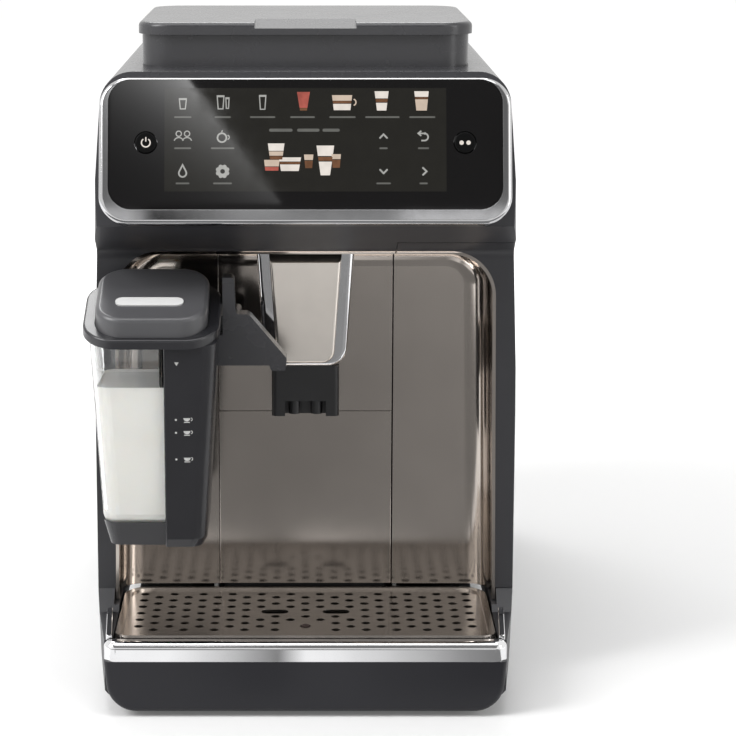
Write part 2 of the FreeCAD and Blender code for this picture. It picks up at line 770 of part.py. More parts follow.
def grate_holes():
    """Staggered rows of round drain holes, with two oval ones and the float's hole in the middle."""
    low, high = TUB_TOP - 1, FAR
    holes = []
    rows = int((TUB_BACK - HOLE_RADIUS - HOLE_START) / HOLE_ROW_PITCH)
    columns = int(TUB_HALF / HOLE_PITCH)
    for row in range(rows):
        depth = HOLE_START + row * HOLE_ROW_PITCH
        shift = (row % 2) * HOLE_PITCH / 2
        for step in range(-columns, columns + 1):
            x = step * HOLE_PITCH + shift
            near_float = math.hypot(x, depth - FLOAT_DEPTH) < FLOAT_RADIUS
            beside_oval = abs(abs(x) - OVAL_X) < OVAL_HALF + HOLE_RADIUS + 1
            near_oval = beside_oval and abs(depth - OVAL_DEPTH) < HOLE_ROW_PITCH + 1
            inside = abs(x) < TUB_HALF - HOLE_MARGIN
            if inside and not near_float and not near_oval:
                holes.append(drain_hole(x, depth, low, high))
    half = OVAL_HALF / 2
    for x in (-OVAL_X, OVAL_X):
        oval = rect(x - OVAL_HALF, x + OVAL_HALF, OVAL_DEPTH - half, OVAL_DEPTH + half, half - 0.1)
        holes.append(prism_z(oval, low, high))
    holes.append(post(STEM_RADIUS + 2 * FIT_GAP, 0, FLOAT_DEPTH, low, high))
    return holes


def drain_hole(x, depth, low, high):
    sides = 8
    ring = []
    for i in range(sides):
        turn = 2 * math.pi * (i + 0.5) / sides
        across = HOLE_RADIUS * math.cos(turn)
        along = HOLE_RADIUS * math.sin(turn)
        ring.append(V(x + across, at(depth) + along, low))
    return Part.Face(Part.makePolygon(ring + ring[:1])).extrude(V(0, 0, high - low))


def grate_plan(inset):
    """The grate's outline, moved in by inset. Its back corners clear the round behind the bay."""
    half = TUB_HALF - SLIDE_GAP - inset
    front = TRAY_FRONT_DEPTH + TRAY_OVERHANG + inset
    back = TUB_BACK - SLIDE_GAP - inset
    near = GRATE_ROUND - inset
    far = BAY_BACK_ROUND + GRATE_CORNER_GAP - inset
    return [(-half, front, near), (half, front, near), (half, back, far), (-half, back, far)]


def drip_grate():
    top = TUB_TOP + GRATE_THICK
    plan = grate_plan(0)
    plate = prism_z(plan, TUB_TOP, top).cut(Part.makeCompound(grate_holes()))
    field = prism_z(grate_plan(GRATE_RIM_WIDTH), TUB_TOP, FAR)
    save("drip_grate", plate.fuse(prism_z(plan, top, GRATE_TOP).cut(field)))


def tray_float():
    floor = TUB_FLOOR + TUB_WALL
    neck = floor + FLOAT_HEIGHT
    bulb = post(FLOAT_RADIUS, 0, FLOAT_DEPTH, floor, neck)
    stem = post(STEM_RADIUS, 0, FLOAT_DEPTH, neck, TUB_TOP + GRATE_THICK + SLIDE_GAP)
    save("tray_float", bulb.fuse(stem))


def grounds_container():
    front = BAY_BACK + LINER
    floor = TUB_FLOOR + TUB_WALL
    half = BIN_HALF - TUB_WALL
    block = prism_z(rect(-BIN_HALF, BIN_HALF, front, BIN_BACK, 2 * TUB_WALL), floor, BIN_TOP)
    plan = rect(-half, half, front + TUB_WALL, BIN_BACK - TUB_WALL, TUB_WALL)
    save("grounds_container", block.cut(prism_z(plan, floor + TUB_WALL, FAR)))


# Display head, made upright and then leaned back


def lean_back(shape):
    leaned = shape.copy()
    leaned.rotate(V(0, at(HEAD_DEPTH), HEAD_Z), V(1, 0, 0), -DISPLAY_TILT)
    return leaned


def window_outline(inset):
    half = WINDOW_HALF - inset
    low, high = HEAD_Z + WINDOW_MARGIN + inset, HEAD_Z + BEZEL_HEIGHT - WINDOW_MARGIN - inset
    return rect(-half, half, low, high, GLASS_THICK)


def head_window():
    front = HEAD_DEPTH + BEZEL_THICK / 2
    return lean_back(prism_y(window_outline(0), front, front + BEZEL_THICK + 2 * FRONT_WALL))


def display_head():
    low, high = HEAD_Z, HEAD_Z + BEZEL_HEIGHT
    front, back = HEAD_DEPTH, HEAD_DEPTH + BEZEL_THICK
    glass_front = front + GLASS_SUNK
    glass_back = glass_front + GLASS_THICK
    button_z = HEAD_Z + BUTTON_RISE
    frame = prism_y(rect(-BEZEL_HALF, BEZEL_HALF, low, high, BEZEL_ROUND), front, back)
    frame = fillet(frame, WALL, lambda e: edge_at(e, depth=front))
    round_corner = BEZEL_ROUND - BASE_LEAN
    opening = rect(-GLASS_HALF, GLASS_HALF, low + GLASS_LOW, low + GLASS_HIGH, round_corner)
    pocket = prism_y(opening, front - 1, glass_back)
    wells = []
    for x in (-BUTTON_X, BUTTON_X):
        well_back = front + BUTTON_SUNK + BUTTON_LENGTH + 2
        wells.append(rod_y(BUTTON_RADIUS + FIT_GAP, x, button_z, front - 1, well_back))
    window = prism_y(window_outline(0), front, back + 1)
    save("display_bezel", lean_back(frame.cut([pocket, window] + wells)))
    save("display_glass", lean_back(prism_y(opening, glass_front, glass_back).cut(wells)))
    module = prism_y(window_outline(2), glass_back, glass_back + MODULE_THICK)
    save("display_module", lean_back(module))
    cap_front = front + BUTTON_SUNK
    for name, x in (("power_button", -BUTTON_X), ("start_button", BUTTON_X)):
        cap = rod_y(BUTTON_RADIUS, x, button_z, cap_front, cap_front + BUTTON_LENGTH)
        cap = fillet(cap, 2 * FIT_GAP, lambda e: edge_at(e, depth=cap_front))
        save(name, lean_back(cap))


# Bean hopper and grinder


def hopper_block(inset):
    """The hopper's outside, or its inside for an inset of one wall: an upright rim over a funnel."""
    x, front, back = HOPPER_HALF - inset, HOPPER_FRONT + inset, HOPPER_BACK - inset
    corner = HOPPER_ROUND - inset
    throat = THROAT_HALF - inset
    near, far = GRINDER_DEPTH - throat, GRINDER_DEPTH + throat
    rim = prism_z(rect(-x, x, front, back, corner), FUNNEL_Z + inset, HOPPER_TOP + inset)
    low = rounded_level(-throat, throat, near, far, RIM_DEPTH, THROAT_Z - inset)
    high = rounded_level(-x, x, front, back, corner, FUNNEL_Z + inset)
    return rim.fuse(loft(low, high))


def bean_hopper():
    boss = post(KNOB_RADIUS + 2, KNOB_X, KNOB_DEPTH, THROAT_Z, KNOB_SEAT)
    hopper = hopper_block(0).cut(hopper_block(WALL)).fuse(boss.common(hopper_block(0)))
    well_floor = KNOB_SEAT - SPINDLE_LENGTH - 1
    well = post(SPINDLE_RADIUS + FIT_GAP, KNOB_X, KNOB_DEPTH, well_floor, KNOB_SEAT + 1)
    save("bean_hopper", hopper.cut(well))


def grind_knob():
    low = KNOB_SEAT + SLIDE_GAP
    top = low + KNOB_HEIGHT
    knob = post(KNOB_RADIUS, KNOB_X, KNOB_DEPTH, low, top)
    blade = box(
        KNOB_X - KNOB_RADIUS,
        KNOB_X + KNOB_RADIUS,
        KNOB_DEPTH - 2,
        KNOB_DEPTH + 2,
        top - 1,
        top + GRIP_HEIGHT,
    )
    grip = blade.common(post(KNOB_RADIUS, KNOB_X, KNOB_DEPTH, low, top + GRIP_HEIGHT))
    spindle = post(SPINDLE_RADIUS, KNOB_X, KNOB_DEPTH, KNOB_SEAT - SPINDLE_LENGTH, low)
    save("grind_knob", knob.fuse([grip, spindle]))


def hopper_lid():
    half = HOPPER_HALF + LID_OVERHANG
    front, back = HOPPER_FRONT - LID_FRONT_OVERHANG, HOPPER_BACK + 2 * LID_OVERHANG
    lid = prism_z(rect(-half, half, front, back, HOPPER_ROUND + 2), LID_LOW, LID_TOP)
    lid = fillet(lid, LID_THICK * 0.4, lambda e: edge_at(e, z=LID_TOP))
    dip = [
        (front - 1, LID_TOP - TAB_DROP, 0),
        (front + TAB_LENGTH, LID_TOP, 0),
        (front + TAB_LENGTH, FAR, 0),
        (front - 1, FAR, 0),
    ]
    save("hopper_lid", lid.cut(prism_x(dip, -TAB_HALF, TAB_HALF)))
    save("hopper_lid_seal", seal_ring(WALL + 1).cut(seal_ring(WALL + 1 + SEAL_WIDTH)))


def seal_ring(inset):
    half = HOPPER_HALF - inset
    plan = rect(-half, half, HOPPER_FRONT + inset, HOPPER_BACK - inset, HOPPER_ROUND - inset)
    return prism_z(plan, LID_LOW - SEAL_HEIGHT, LID_LOW)


def grinder():
    roof = THROAT_Z - 1.5 * CASE_WALL
    burr_low = roof - BURR_THICK
    disc_top = burr_low - 1
    disc_low = disc_top - DISC_THICK
    hole = SHAFT_RADIUS + 1
    case = post(GRINDER_RADIUS, 0, GRINDER_DEPTH, SHELF_TOP, THROAT_Z)
    room = post(GRINDER_RADIUS - CASE_WALL, 0, GRINDER_DEPTH, SHELF_TOP + CASE_WALL, roof)
    throat = post(BURR_BORE + 3, 0, GRINDER_DEPTH, burr_low, THROAT_Z + 1)
    shaft_hole = post(hole, 0, GRINDER_DEPTH, SHELF_Z, SHELF_TOP + 2 * CASE_WALL)
    save("grinder_housing", case.cut([room, throat, shaft_hole]))
    ring = post(GRINDER_RADIUS - CASE_WALL, 0, GRINDER_DEPTH, burr_low, roof)
    save("upper_burr", ring.cut(post(BURR_BORE, 0, GRINDER_DEPTH, burr_low - 1, roof + 1)))
    disc = post(GRINDER_RADIUS - CASE_WALL - 2, 0, GRINDER_DEPTH, disc_low, disc_top)
    cone_foot = V(0, at(GRINDER_DEPTH), disc_top)
    cone = Part.makeCone(BURR_BORE - 4, SHAFT_RADIUS + 1, BURR_THICK - 1, cone_foot, V(0, 0, 1))
    shaft_low = SHELF_Z - SHAFT_IN_MOTOR
    shaft = post(SHAFT_RADIUS, 0, GRINDER_DEPTH, shaft_low, disc_low)
    save("lower_burr", disc.fuse([cone, shaft]))
    motor = post(MOTOR_RADIUS, 0, GRINDER_DEPTH, SHELF_Z - MOTOR_HEIGHT, SHELF_Z)
    save("grinder_motor", motor.cut(post(hole, 0, GRINDER_DEPTH, shaft_low - CASE_WALL, FAR)))


# Coffee spout that slides up and down


def spout_outline(inset, low, corner):
    """A tapered shield, square at its hidden top and round at its foot."""
    low_half = SPOUT_HALF - SPOUT_TAPER - inset
    top = low_half + SPOUT_TAPER * (SPOUT_TOP - low) / (BAY_TOP - low)
    return [(-top, SPOUT_TOP, 0), (top, SPOUT_TOP, 0), (low_half, low, corner), (-low_half, low, corner)]


def spout_slope():
    """What is cut away over the spout's sloping top."""
    low = SPOUT_TOP - SPOUT_SLOPE_DROP
    back = SPOUT_FRONT + SPOUT_SLOPE
    corners = [(SPOUT_FRONT, low, 0), (back, SPOUT_TOP, 0), (back, FAR, 0), (SPOUT_FRONT, FAR, 0)]
    return prism_x(corners, -FAR, FAR)


def coffee_spout():
    face_back = SPOUT_FRONT + COVER_THICK
    shield = spout_outline(COVER_INSET, SPOUT_FRAME_LOW + NOZZLE_INSET, SPOUT_ROUND * 2 / 3)
    cover = prism_y(shield, SPOUT_FRONT, face_back)
    cover = fillet(cover, COVER_THICK * 0.4, lambda e: edge_at(e, depth=SPOUT_FRONT))
    save("spout_cover", cover.cut(spout_slope()))

    frame = prism_y(spout_outline(0, SPOUT_FRAME_LOW, SPOUT_ROUND), face_back, SPOUT_BACK)
    front_edges = lambda e: edge_at(e, depth=face_back) and not edge_at(e, z=SPOUT_TOP)
    frame = fillet(frame, NOZZLE_INSET, front_edges)
    half = SPOUT_HALF - SPOUT_TAPER - WALL
    floor = SPOUT_FRAME_LOW + WALL + SPOUT_ROUND
    room = box(-half, half, face_back + WALL, SPOUT_BACK - WALL, floor, FAR)
    save("spout_frame", frame.cut([room, spout_slope()]))

    front, back = face_back + NOZZLE_INSET, SPOUT_BACK - NOZZLE_INSET
    plan = rect(-NOZZLE_HALF, NOZZLE_HALF, front, back, NOZZLE_INSET)
    block = prism_z(plan, NOZZLE_LOW, SPOUT_FRAME_LOW)
    notch_top = NOZZLE_LOW + NOTCH_HEIGHT
    notch = box(-NOTCH_HALF, NOTCH_HALF, front - 1, back - 1, NOZZLE_LOW - 1, notch_top)
    save("spout_nozzle_block", block.cut(notch))

    outlets = []
    middle = (front + back) / 2
    for x in (-OUTLET_X, OUTLET_X):
        tube = post(OUTLET_RADIUS, x, middle, NOZZLE_LOW + 1, notch_top)
        outlets.append(tube.cut(post(OUTLET_RADIUS - 1.4, x, middle, NOZZLE_LOW, notch_top - 2)))
    save("spout_outlets", Part.makeCompound(outlets))

    low = SPOUT_FRAME_LOW + RAIL_GAP
    slide_back = RAIL_FRONT + TONGUE_DEPTH - SLIDE_GAP
    carriage = box(-CARRIAGE_HALF, CARRIAGE_HALF, SPOUT_BACK, slide_back, low, low + CARRIAGE_HEIGHT)
    slot_half = TONGUE_HALF + FIT_GAP
    slot = box(-slot_half, slot_half, RAIL_FRONT - FIT_GAP, BAY_BACK, 0, FAR)
    save("spout_carriage", carriage.cut(slot))


# Milk carafe


def milk_spout_block():
    """The arm that carries milk to the cup, and behind it the block that docks on the hot water spigot."""
    root = CARAFE_RIGHT - ARM_ROOT
    beside_lid = CARAFE_RIGHT + FIT_GAP
    neck = beside_lid + NECK_WIDTH
    low, high = JUG_TOP - ARM_LOW, JUG_TOP + ARM_HIGH
    tip = ARM_TIP_X - TIP_WIDTH
    arm = [
        (root, low, 0),
        (tip, low, 0),
        (tip + 1, low - TIP_DROP, 1),
        (ARM_TIP_X - 1, low - TIP_DROP, 1),
        (ARM_TIP_X, low + TIP_HEIGHT, 2),
        (neck + ARM_SHOULDER, high, ARM_ROUND),
        (neck + 1, high, 2),
        (neck, JUG_TOP + NECK_HIGH, 2),
        (beside_lid, JUG_TOP + NECK_HIGH, 0),
        (beside_lid, JUG_TOP, 0),
        (root, JUG_TOP, 0),
    ]
    arm_back = CARAFE_BACK - ARM_INSET
    left, right = DOCK_X - DOCK_HALF, DOCK_X + DOCK_HALF
    sides = rect(left, right, low + DOCK_INSET, high - DOCK_INSET, DOCK_INSET)
    dock = prism_y(sides, arm_back - 2, DOCK_BACK)
    bore_front = DOCK_BACK - SPIGOT_LENGTH - 2
    bore = rod_y(SPIGOT_RADIUS + FIT_GAP, DOCK_X, DOCK_Z, bore_front, DOCK_BACK + 1)
    return prism_y(arm, arm_back - ARM_THICK, arm_back).fuse(dock).cut(bore)


def over_rim(low, high):
    """A slab that leans like the lid, between two heights over the jug's rim."""
    corners = [
        (CARAFE_FRONT, JUG_TOP + low, 0),
        (CARAFE_FRONT, JUG_TOP + high, 0),
        (CARAFE_BACK, JUG_TOP + LID_SLOPE + high, 0),
        (CARAFE_BACK, JUG_TOP + LID_SLOPE + low, 0),
    ]
    return prism_x(corners, CARAFE_LEFT, CARAFE_RIGHT)


def height_over_rim(vertex):
    depth = vertex.Y - FRONT_Y - CARAFE_FRONT
    return vertex.Z - JUG_TOP - depth * LID_SLOPE / CARAFE_DEPTH


def lid_plan(side, end, radius):
    left, right = CARAFE_LEFT + side, CARAFE_RIGHT - side
    return rect(left, right, CARAFE_FRONT + end, CARAFE_BACK - end, radius)


def column_level(taper, lean, z):
    front = CARAFE_FRONT + COLUMN_INSET + lean
    back = CARAFE_BACK - COLUMN_INSET - lean / 2
    right = CARAFE_RIGHT - taper
    corners = [
        (CARAFE_SPLIT_X, front, COLUMN_EDGE),
        (right, front, COLUMN_ROUND),
        (right, back, COLUMN_ROUND),
        (CARAFE_SPLIT_X, back, COLUMN_EDGE),
    ]
    return outline(corners, lambda x, depth: V(x, at(depth), z))


def carafe_frame():
    """The carafe's column and cradle, and the collar that leans with the lid."""
    heel = COLUMN_HEEL / 2
    levels = [
        column_level(COLUMN_TAPER + heel, COLUMN_LEAN + heel, CARAFE_FOOT),
        column_level(COLUMN_TAPER, COLUMN_LEAN, CARAFE_FOOT + COLUMN_HEEL),
        column_level(0, 0, JUG_TOP + LID_SLOPE + 1),
    ]
    column = Part.makeLoft(levels, True, True)
    inside_column = CARAFE_SPLIT_X + COLUMN_ROUND
    rim = JUG_FLOOR + CRADLE_RISE
    cradle = loft(
        jug_level(JUG_HEEL / 2, inside_column, CARAFE_FOOT),
        jug_level(0, inside_column, rim),
    )
    below_rim = over_rim(-2 * JUG_HEIGHT, 0)
    ring = prism_z(lid_plan(0, 0, CARAFE_LID_ROUND + COLLAR_END), 0, FAR)
    hole = prism_z(lid_plan(COLLAR_WALL, COLLAR_END, CARAFE_LID_ROUND), 0, FAR)
    collar = over_rim(0, COLLAR_HEIGHT).common(ring)
    top_edges = lambda e: min(height_over_rim(v) for v in e.Vertexes) > COLLAR_HEIGHT - 0.5
    collar = fillet(collar, COLLAR_EDGE, top_edges).cut(hole)
    body = column.common(below_rim).fuse(cradle.cut(jug_block(0, 0)))
    save("carafe_frame", body.fuse(collar).cut(milk_spout_block()))
    save("milk_spout", milk_spout_block())


def jug_level(inset, right, z):
    """The jug's outline at one height, moved in by inset on its three free sides."""
    lean = JUG_TAPER * (JUG_TOP - z) / JUG_HEIGHT + inset
    left = CARAFE_LEFT + JUG_INSET + lean
    front = CARAFE_FRONT + JUG_INSET + lean
    back = CARAFE_BACK - JUG_INSET - lean
    corner = JUG_ROUND - inset
    corners = [
        (left, front, corner),
        (right, front, COLUMN_EDGE),
        (right, back, COLUMN_EDGE),
        (left, back, corner),
    ]
    return outline(corners, lambda x, depth: V(x, at(depth), z))


def jug_block(inset, lift):
    """The jug's outside, or its hollow when shrunk by inset and lifted off the floor."""
    right = CARAFE_SPLIT_X - inset
    floor = JUG_FLOOR + lift
    levels = []
    for turn in (0, 30, 60, 90):
        angle = math.radians(turn)
        step = JUG_HEEL * (1 - math.sin(angle))
        levels.append(jug_level(inset + step, right, floor + JUG_HEEL * (1 - math.cos(angle))))
    levels.append(jug_level(inset, right, JUG_TOP + LID_SLOPE + 1))
    return Part.makeLoft(levels, True, True)


def carafe_jug():
    jug = jug_block(0, 0).cut(jug_block(JUG_WALL, JUG_BOTTOM))
    save("carafe_jug", jug.common(over_rim(-2 * JUG_HEIGHT, 0)))


def carafe_lid():
    side, end = COLLAR_WALL + SLIDE_GAP, COLLAR_END + SLIDE_GAP
    plan = lid_plan(side, end, CARAFE_LID_ROUND - SLIDE_GAP)
    lid = over_rim(0, LID_FRONT_HEIGHT).common(prism_z(plan, 0, FAR))
    top_edges = lambda e: min(height_over_rim(v) for v in e.Vertexes) > LID_FRONT_HEIGHT - 0.5
    lid = fillet(lid, LID_EDGE, top_edges)
    save("carafe_lid", lid.cut(slot_bar(SLOT_DEPTH)))
    save("lid_slot_insert", slot_bar(2 * FIT_GAP))


def slot_bar(rise):
    """The bar let into the lid's leaning top, standing out of it by rise."""
    middle_x = (CARAFE_LEFT + CARAFE_RIGHT) / 2 - SLOT_SHIFT
    depth = CARAFE_FRONT + SLOT_FROM_FRONT
    tilt = math.atan2(LID_SLOPE, CARAFE_DEPTH)
    z = LID_FRONT_Z + SLOT_FROM_FRONT * math.tan(tilt)
    half = SLOT_WIDTH / 2
    plan = rect(middle_x - SLOT_HALF, middle_x + SLOT_HALF, depth - half, depth + half, half - 0.2)
    bar = prism_z(plan, z - SLOT_DEPTH, z + rise)
    bar.rotate(V(0, at(depth), z), V(1, 0, 0), math.degrees(tilt))
    return bar


# Water tank


def water_tank():
    front = BAY_BACK + LINER
    shell = prism_z(rect(TANK_LEFT, TANK_RIGHT, front, TANK_BACK, TANK_ROUND), TANK_FLOOR, TANK_TOP)
    left, right = TANK_LEFT + TANK_WALL, TANK_RIGHT - TANK_WALL
    floor = TANK_FLOOR + TANK_WALL
    plan = rect(left, right, front + TANK_WALL, TANK_BACK - TANK_WALL, TANK_ROUND / 3)
    drain = rod_y(VALVE_BORE, VALVE_X, VALVE_Z, TANK_BACK - 2 * TANK_WALL, FAR)
    save("tank_shell", shell.cut([prism_z(plan, floor, FAR), drain]))
    pipe = rod_y(VALVE_RADIUS, VALVE_X, VALVE_Z, TANK_BACK, TANK_BACK + VALVE_LENGTH)
    save("tank_valve", pipe.cut(rod_y(VALVE_BORE, VALVE_X, VALVE_Z, 0, FAR)))
    filter_depth = TANK_BACK - FILTER_FROM_BACK
    save("water_filter", post(FILTER_RADIUS, VALVE_X, filter_depth, floor, floor + FILTER_HEIGHT))
    near = TANK_BACK + 2
    left, right = VALVE_X - SOCKET_HALF, VALVE_X + SOCKET_HALF
    stand = box(left, right, near, near + SOCKET_DEPTH, FLOOR_TOP, VALVE_Z + SOCKET_HALF)
    mouth = rod_y(VALVE_RADIUS + FIT_GAP, VALVE_X, VALVE_Z, TANK_BACK, TANK_BACK + 1.5 * VALVE_LENGTH)
    save("tank_socket", stand.cut(mouth))


# Works inside the body


def partition_x():
    return LINER_SEAM_X + 1


def internal_frame():
    front = BAY_BACK + LINER
    back = BODY_DEPTH - REAR_THICK
    near, far = partition_x(), partition_x() + PARTITION
    left = box(-far, -near, front, back, FLOOR_TOP, SHELF_Z)
    right = box(near, far, front + 3 * SLIDE_GAP, back, FLOOR_TOP, SHELF_Z)
    half = BASE_HALF - SHELF_MARGIN
    shelf = box(-half, half, front + 3 * SLIDE_GAP, back, SHELF_Z, SHELF_TOP)
    shaft_hole = post(SHAFT_RADIUS + 1, 0, GRINDER_DEPTH, SHELF_Z - 1, SHELF_TOP + 1)
    save("internal_frame", left.fuse([right, shelf]).cut(shaft_hole))


def brew_group():
    front = BIN_BACK + BREW_GAP
    back = front + BREW_DEPTH
    middle = (front + back) / 2
    bore_low = PISTON_LOW - PISTON_HEIGHT + BREW_GAP
    body = box(-BREW_HALF, BREW_HALF, front, back, FLOOR_TOP, BREW_TOP)
    save("brew_group_body", body.cut(post(PISTON_RADIUS + FIT_GAP, 0, middle, bore_low, FAR)))
    piston_top = PISTON_LOW + PISTON_HEIGHT
    crown = post(PISTON_RADIUS, 0, middle, PISTON_LOW, piston_top)
    stem = post(STEM_OF_PISTON_RADIUS, 0, middle, piston_top, piston_top + PISTON_STEM)
    save("brew_piston", crown.fuse(stem))
    motor_depth = back + BREW_MOTOR_RADIUS + 2
    motor = post(BREW_MOTOR_RADIUS, 0, motor_depth, FLOOR_TOP, BREW_MOTOR_TOP)
    half = BREW_MOTOR_RADIUS - 4
    mount = box(-half, half, back, motor_depth, PUMP_Z - half, PUMP_Z + half)
    save("brew_motor", motor.fuse(mount))


def water_works():
    x = WORKS_X
    pump = rod_y(PUMP_RADIUS, x, PUMP_Z, PUMP_DEPTH, PUMP_DEPTH + PUMP_LENGTH)
    near, far = PUMP_DEPTH + SADDLE_INSET, PUMP_DEPTH + PUMP_LENGTH - SADDLE_INSET
    saddle = box(x - METER_HALF, x + METER_HALF, near, far, FLOOR_TOP, PUMP_Z)
    save("water_pump", pump.fuse(saddle))
    boiler_top = BOILER_LOW + BOILER_HEIGHT
    tank = post(BOILER_RADIUS, x, BOILER_DEPTH, BOILER_LOW, boiler_top)
    wall = -partition_x() - PARTITION
    near, far = BOILER_DEPTH - BRACKET_HALF, BOILER_DEPTH + BRACKET_HALF
    bracket = box(x, wall, near, far, BOILER_LOW + 2 * BRACKET_HALF, boiler_top - 2 * BRACKET_HALF)
    save("boiler", tank.fuse(bracket))
    meter_back = PUMP_DEPTH - BOARD_FROM_HOPPER
    meter_front = meter_back - 2 * METER_HALF
    block = box(x - METER_HALF, x + METER_HALF, meter_front, meter_back, FLOOR_TOP, METER_TOP)
    save("flow_meter", block.fuse(post(METER_HALF - 4, x, meter_back - METER_HALF, METER_TOP, PUMP_Z)))
    save("meter_hose", rod_y(HOSE_RADIUS, x, HOSE_Z, meter_back, PUMP_DEPTH))
    hose_z = PUMP_Z + 2.5 * HOSE_RADIUS
    elbow = Part.makeSphere(HOSE_RADIUS, V(x, at(BOILER_DEPTH), hose_z))
    riser = post(HOSE_RADIUS, x, BOILER_DEPTH, hose_z, BOILER_LOW)
    run = rod_y(HOSE_RADIUS, x, hose_z, BOILER_DEPTH, PUMP_DEPTH)
    save("boiler_hose", riser.fuse([elbow, run]))


def control_board():
    front, back = HOPPER_BACK + BOARD_FROM_HOPPER, BODY_DEPTH - BOARD_FROM_BACK
    half = BASE_HALF - BOARD_MARGIN
    low = SHELF_TOP + BOARD_LEG
    high = low + BOARD_THICK
    board = box(-half, half, front, back, low, high)
    parts = []
    inset = 1.5 * BOARD_LEG
    for x in (-half + inset, half - inset):
        for depth in (front + inset, back - inset):
            near, far = depth - BOARD_LEG, depth + BOARD_LEG
            parts.append(box(x - BOARD_LEG, x + BOARD_LEG, near, far, SHELF_TOP, low))
    near, far = front + CHIP_INSET, front + CHIP_INSET + CHIP_LENGTH
    outer = half - CHIP_INSET
    inner = outer - CHIP_LENGTH
    parts.append(box(-outer, -inner, near, far, high, high + CHIP_HEIGHT))
    parts.append(box(inner, outer, near, far, high, high + CHIP_HEIGHT / 2))
    save("control_board", board.fuse(parts))


def build():
    os.makedirs("parts", exist_ok=True)
    base_pan()
    base_strips()
    rubber_feet()
    housing()
    mains_inlet()
    liner()
    hot_water_spigot()
    spout_rail()
    display_head()
    bean_hopper()
    grind_knob()
    hopper_lid()
    grinder()
    coffee_spout()
    tray_front()
    tray_tub()
    drip_grate()
    tray_float()
    grounds_container()
    water_tank()
    carafe_frame()
    carafe_jug()
    carafe_lid()
    internal_frame()
    brew_group()
    water_works()
    control_board()


build()
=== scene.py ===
# %% [markdown]
# # A bean-to-cup coffee machine
# This lesson dresses a coffee machine that was built and measured in CAD. The CAD pieces keep
# their shapes and places. Blender gives each of them a finish, and adds the thin things that a
# mould or a milling cutter doesn't make: what the display shows, the marks on the buttons and
# the milk in the jug. We load the pieces first.

# %% Load the pieces
import json
import math

import bmesh
import bpy
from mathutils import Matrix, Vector
from mathutils.bvhtree import BVHTree


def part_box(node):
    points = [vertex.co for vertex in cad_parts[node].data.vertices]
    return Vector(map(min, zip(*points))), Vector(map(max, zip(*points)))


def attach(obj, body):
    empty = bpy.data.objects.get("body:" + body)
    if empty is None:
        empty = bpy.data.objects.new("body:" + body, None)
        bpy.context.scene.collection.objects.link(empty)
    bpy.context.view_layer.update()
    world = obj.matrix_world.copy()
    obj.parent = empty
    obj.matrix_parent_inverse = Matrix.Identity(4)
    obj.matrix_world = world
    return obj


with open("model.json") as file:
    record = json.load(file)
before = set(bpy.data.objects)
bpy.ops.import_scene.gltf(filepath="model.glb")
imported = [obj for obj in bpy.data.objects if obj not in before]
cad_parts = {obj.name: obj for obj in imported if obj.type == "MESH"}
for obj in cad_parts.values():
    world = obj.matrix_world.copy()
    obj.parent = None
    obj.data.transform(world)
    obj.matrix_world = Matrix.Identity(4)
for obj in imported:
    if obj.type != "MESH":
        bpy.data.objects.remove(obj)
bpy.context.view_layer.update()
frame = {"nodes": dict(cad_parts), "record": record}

MM = 0.001
nodes = frame["nodes"]
scene = bpy.context.scene
scene.view_settings.view_transform = "Standard"

# %% [markdown]
# ## Camera
# A product photo is taken from far away with a long lens, so that upright edges stay upright.
# The camera here stands about 1.6 m from the machine's middle, a little above it, and looks down
# by 11.6 degrees. Its lens is shifted sideways, as a view camera's is, because the machine stands
# left of the middle of the picture while the camera looks straight at it.

# %% Set up the camera
CAMERA_BACK = 1.563
CAMERA_HEIGHT = 0.480
LOOK_DOWN = math.radians(11.6)
LENS = 122.04
SENSOR = 36.0
SIDE_SHIFT = 0.085
camera_data = bpy.data.cameras.new("camera")
camera_data.lens = LENS
camera_data.sensor_width = SENSOR
camera_data.shift_x = SIDE_SHIFT
camera = bpy.data.objects.new("camera", camera_data)
camera.location = (0.0, -CAMERA_BACK, CAMERA_HEIGHT)
camera.rotation_euler = (math.pi / 2 - LOOK_DOWN, 0.0, 0.0)
scene.collection.objects.link(camera)
scene.camera = camera
print("camera at", tuple(camera.location))

# %% [markdown]
# ## Floor
# The machine stands on a seamless white sheet. A plain white surface never looks quite white in
# a picture, because it only gives back the light that falls on it. So the sheet also shines a
# little for the rays that come straight from the camera or from shiny things, and more so far
# from the lamps. It then reaches white, and the soft shadow of the machine stays on it.

# %% Lay the floor
FLOOR_HALF = 6.0
LIT_NEAR = 0.35
LIT_FAR = 1.6
GLOW_NEAR = 0.10
GLOW_FAR = 0.70
PAPER_TONE = (0.86, 0.86, 0.86, 1.0)


def sheet(name, corners):
    """A flat four-cornered face."""
    mesh = bpy.data.meshes.new(name)
    mesh.from_pydata(corners, [], [(0, 1, 2, 3)])
    piece = bpy.data.objects.new(name, mesh)
    scene.collection.objects.link(piece)
    return piece


def link(tree, out_node, out_socket, in_node, in_socket):
    """Joins an output of one shader node to an input of another."""
    tree.links.new(out_node.outputs[out_socket], in_node.inputs[in_socket])


def seen_rays(tree):
    """1 for rays that come from the camera, from shiny surfaces or through clear ones, else 0."""
    path = tree.nodes.new("ShaderNodeLightPath")
    shiny = tree.nodes.new("ShaderNodeMath")
    shiny.operation = "MAXIMUM"
    link(tree, path, "Is Glossy Ray", shiny, 0)
    link(tree, path, "Is Transmission Ray", shiny, 1)
    seen = tree.nodes.new("ShaderNodeMath")
    seen.operation = "MAXIMUM"
    link(tree, path, "Is Camera Ray", seen, 0)
    link(tree, shiny, 0, seen, 1)
    return seen


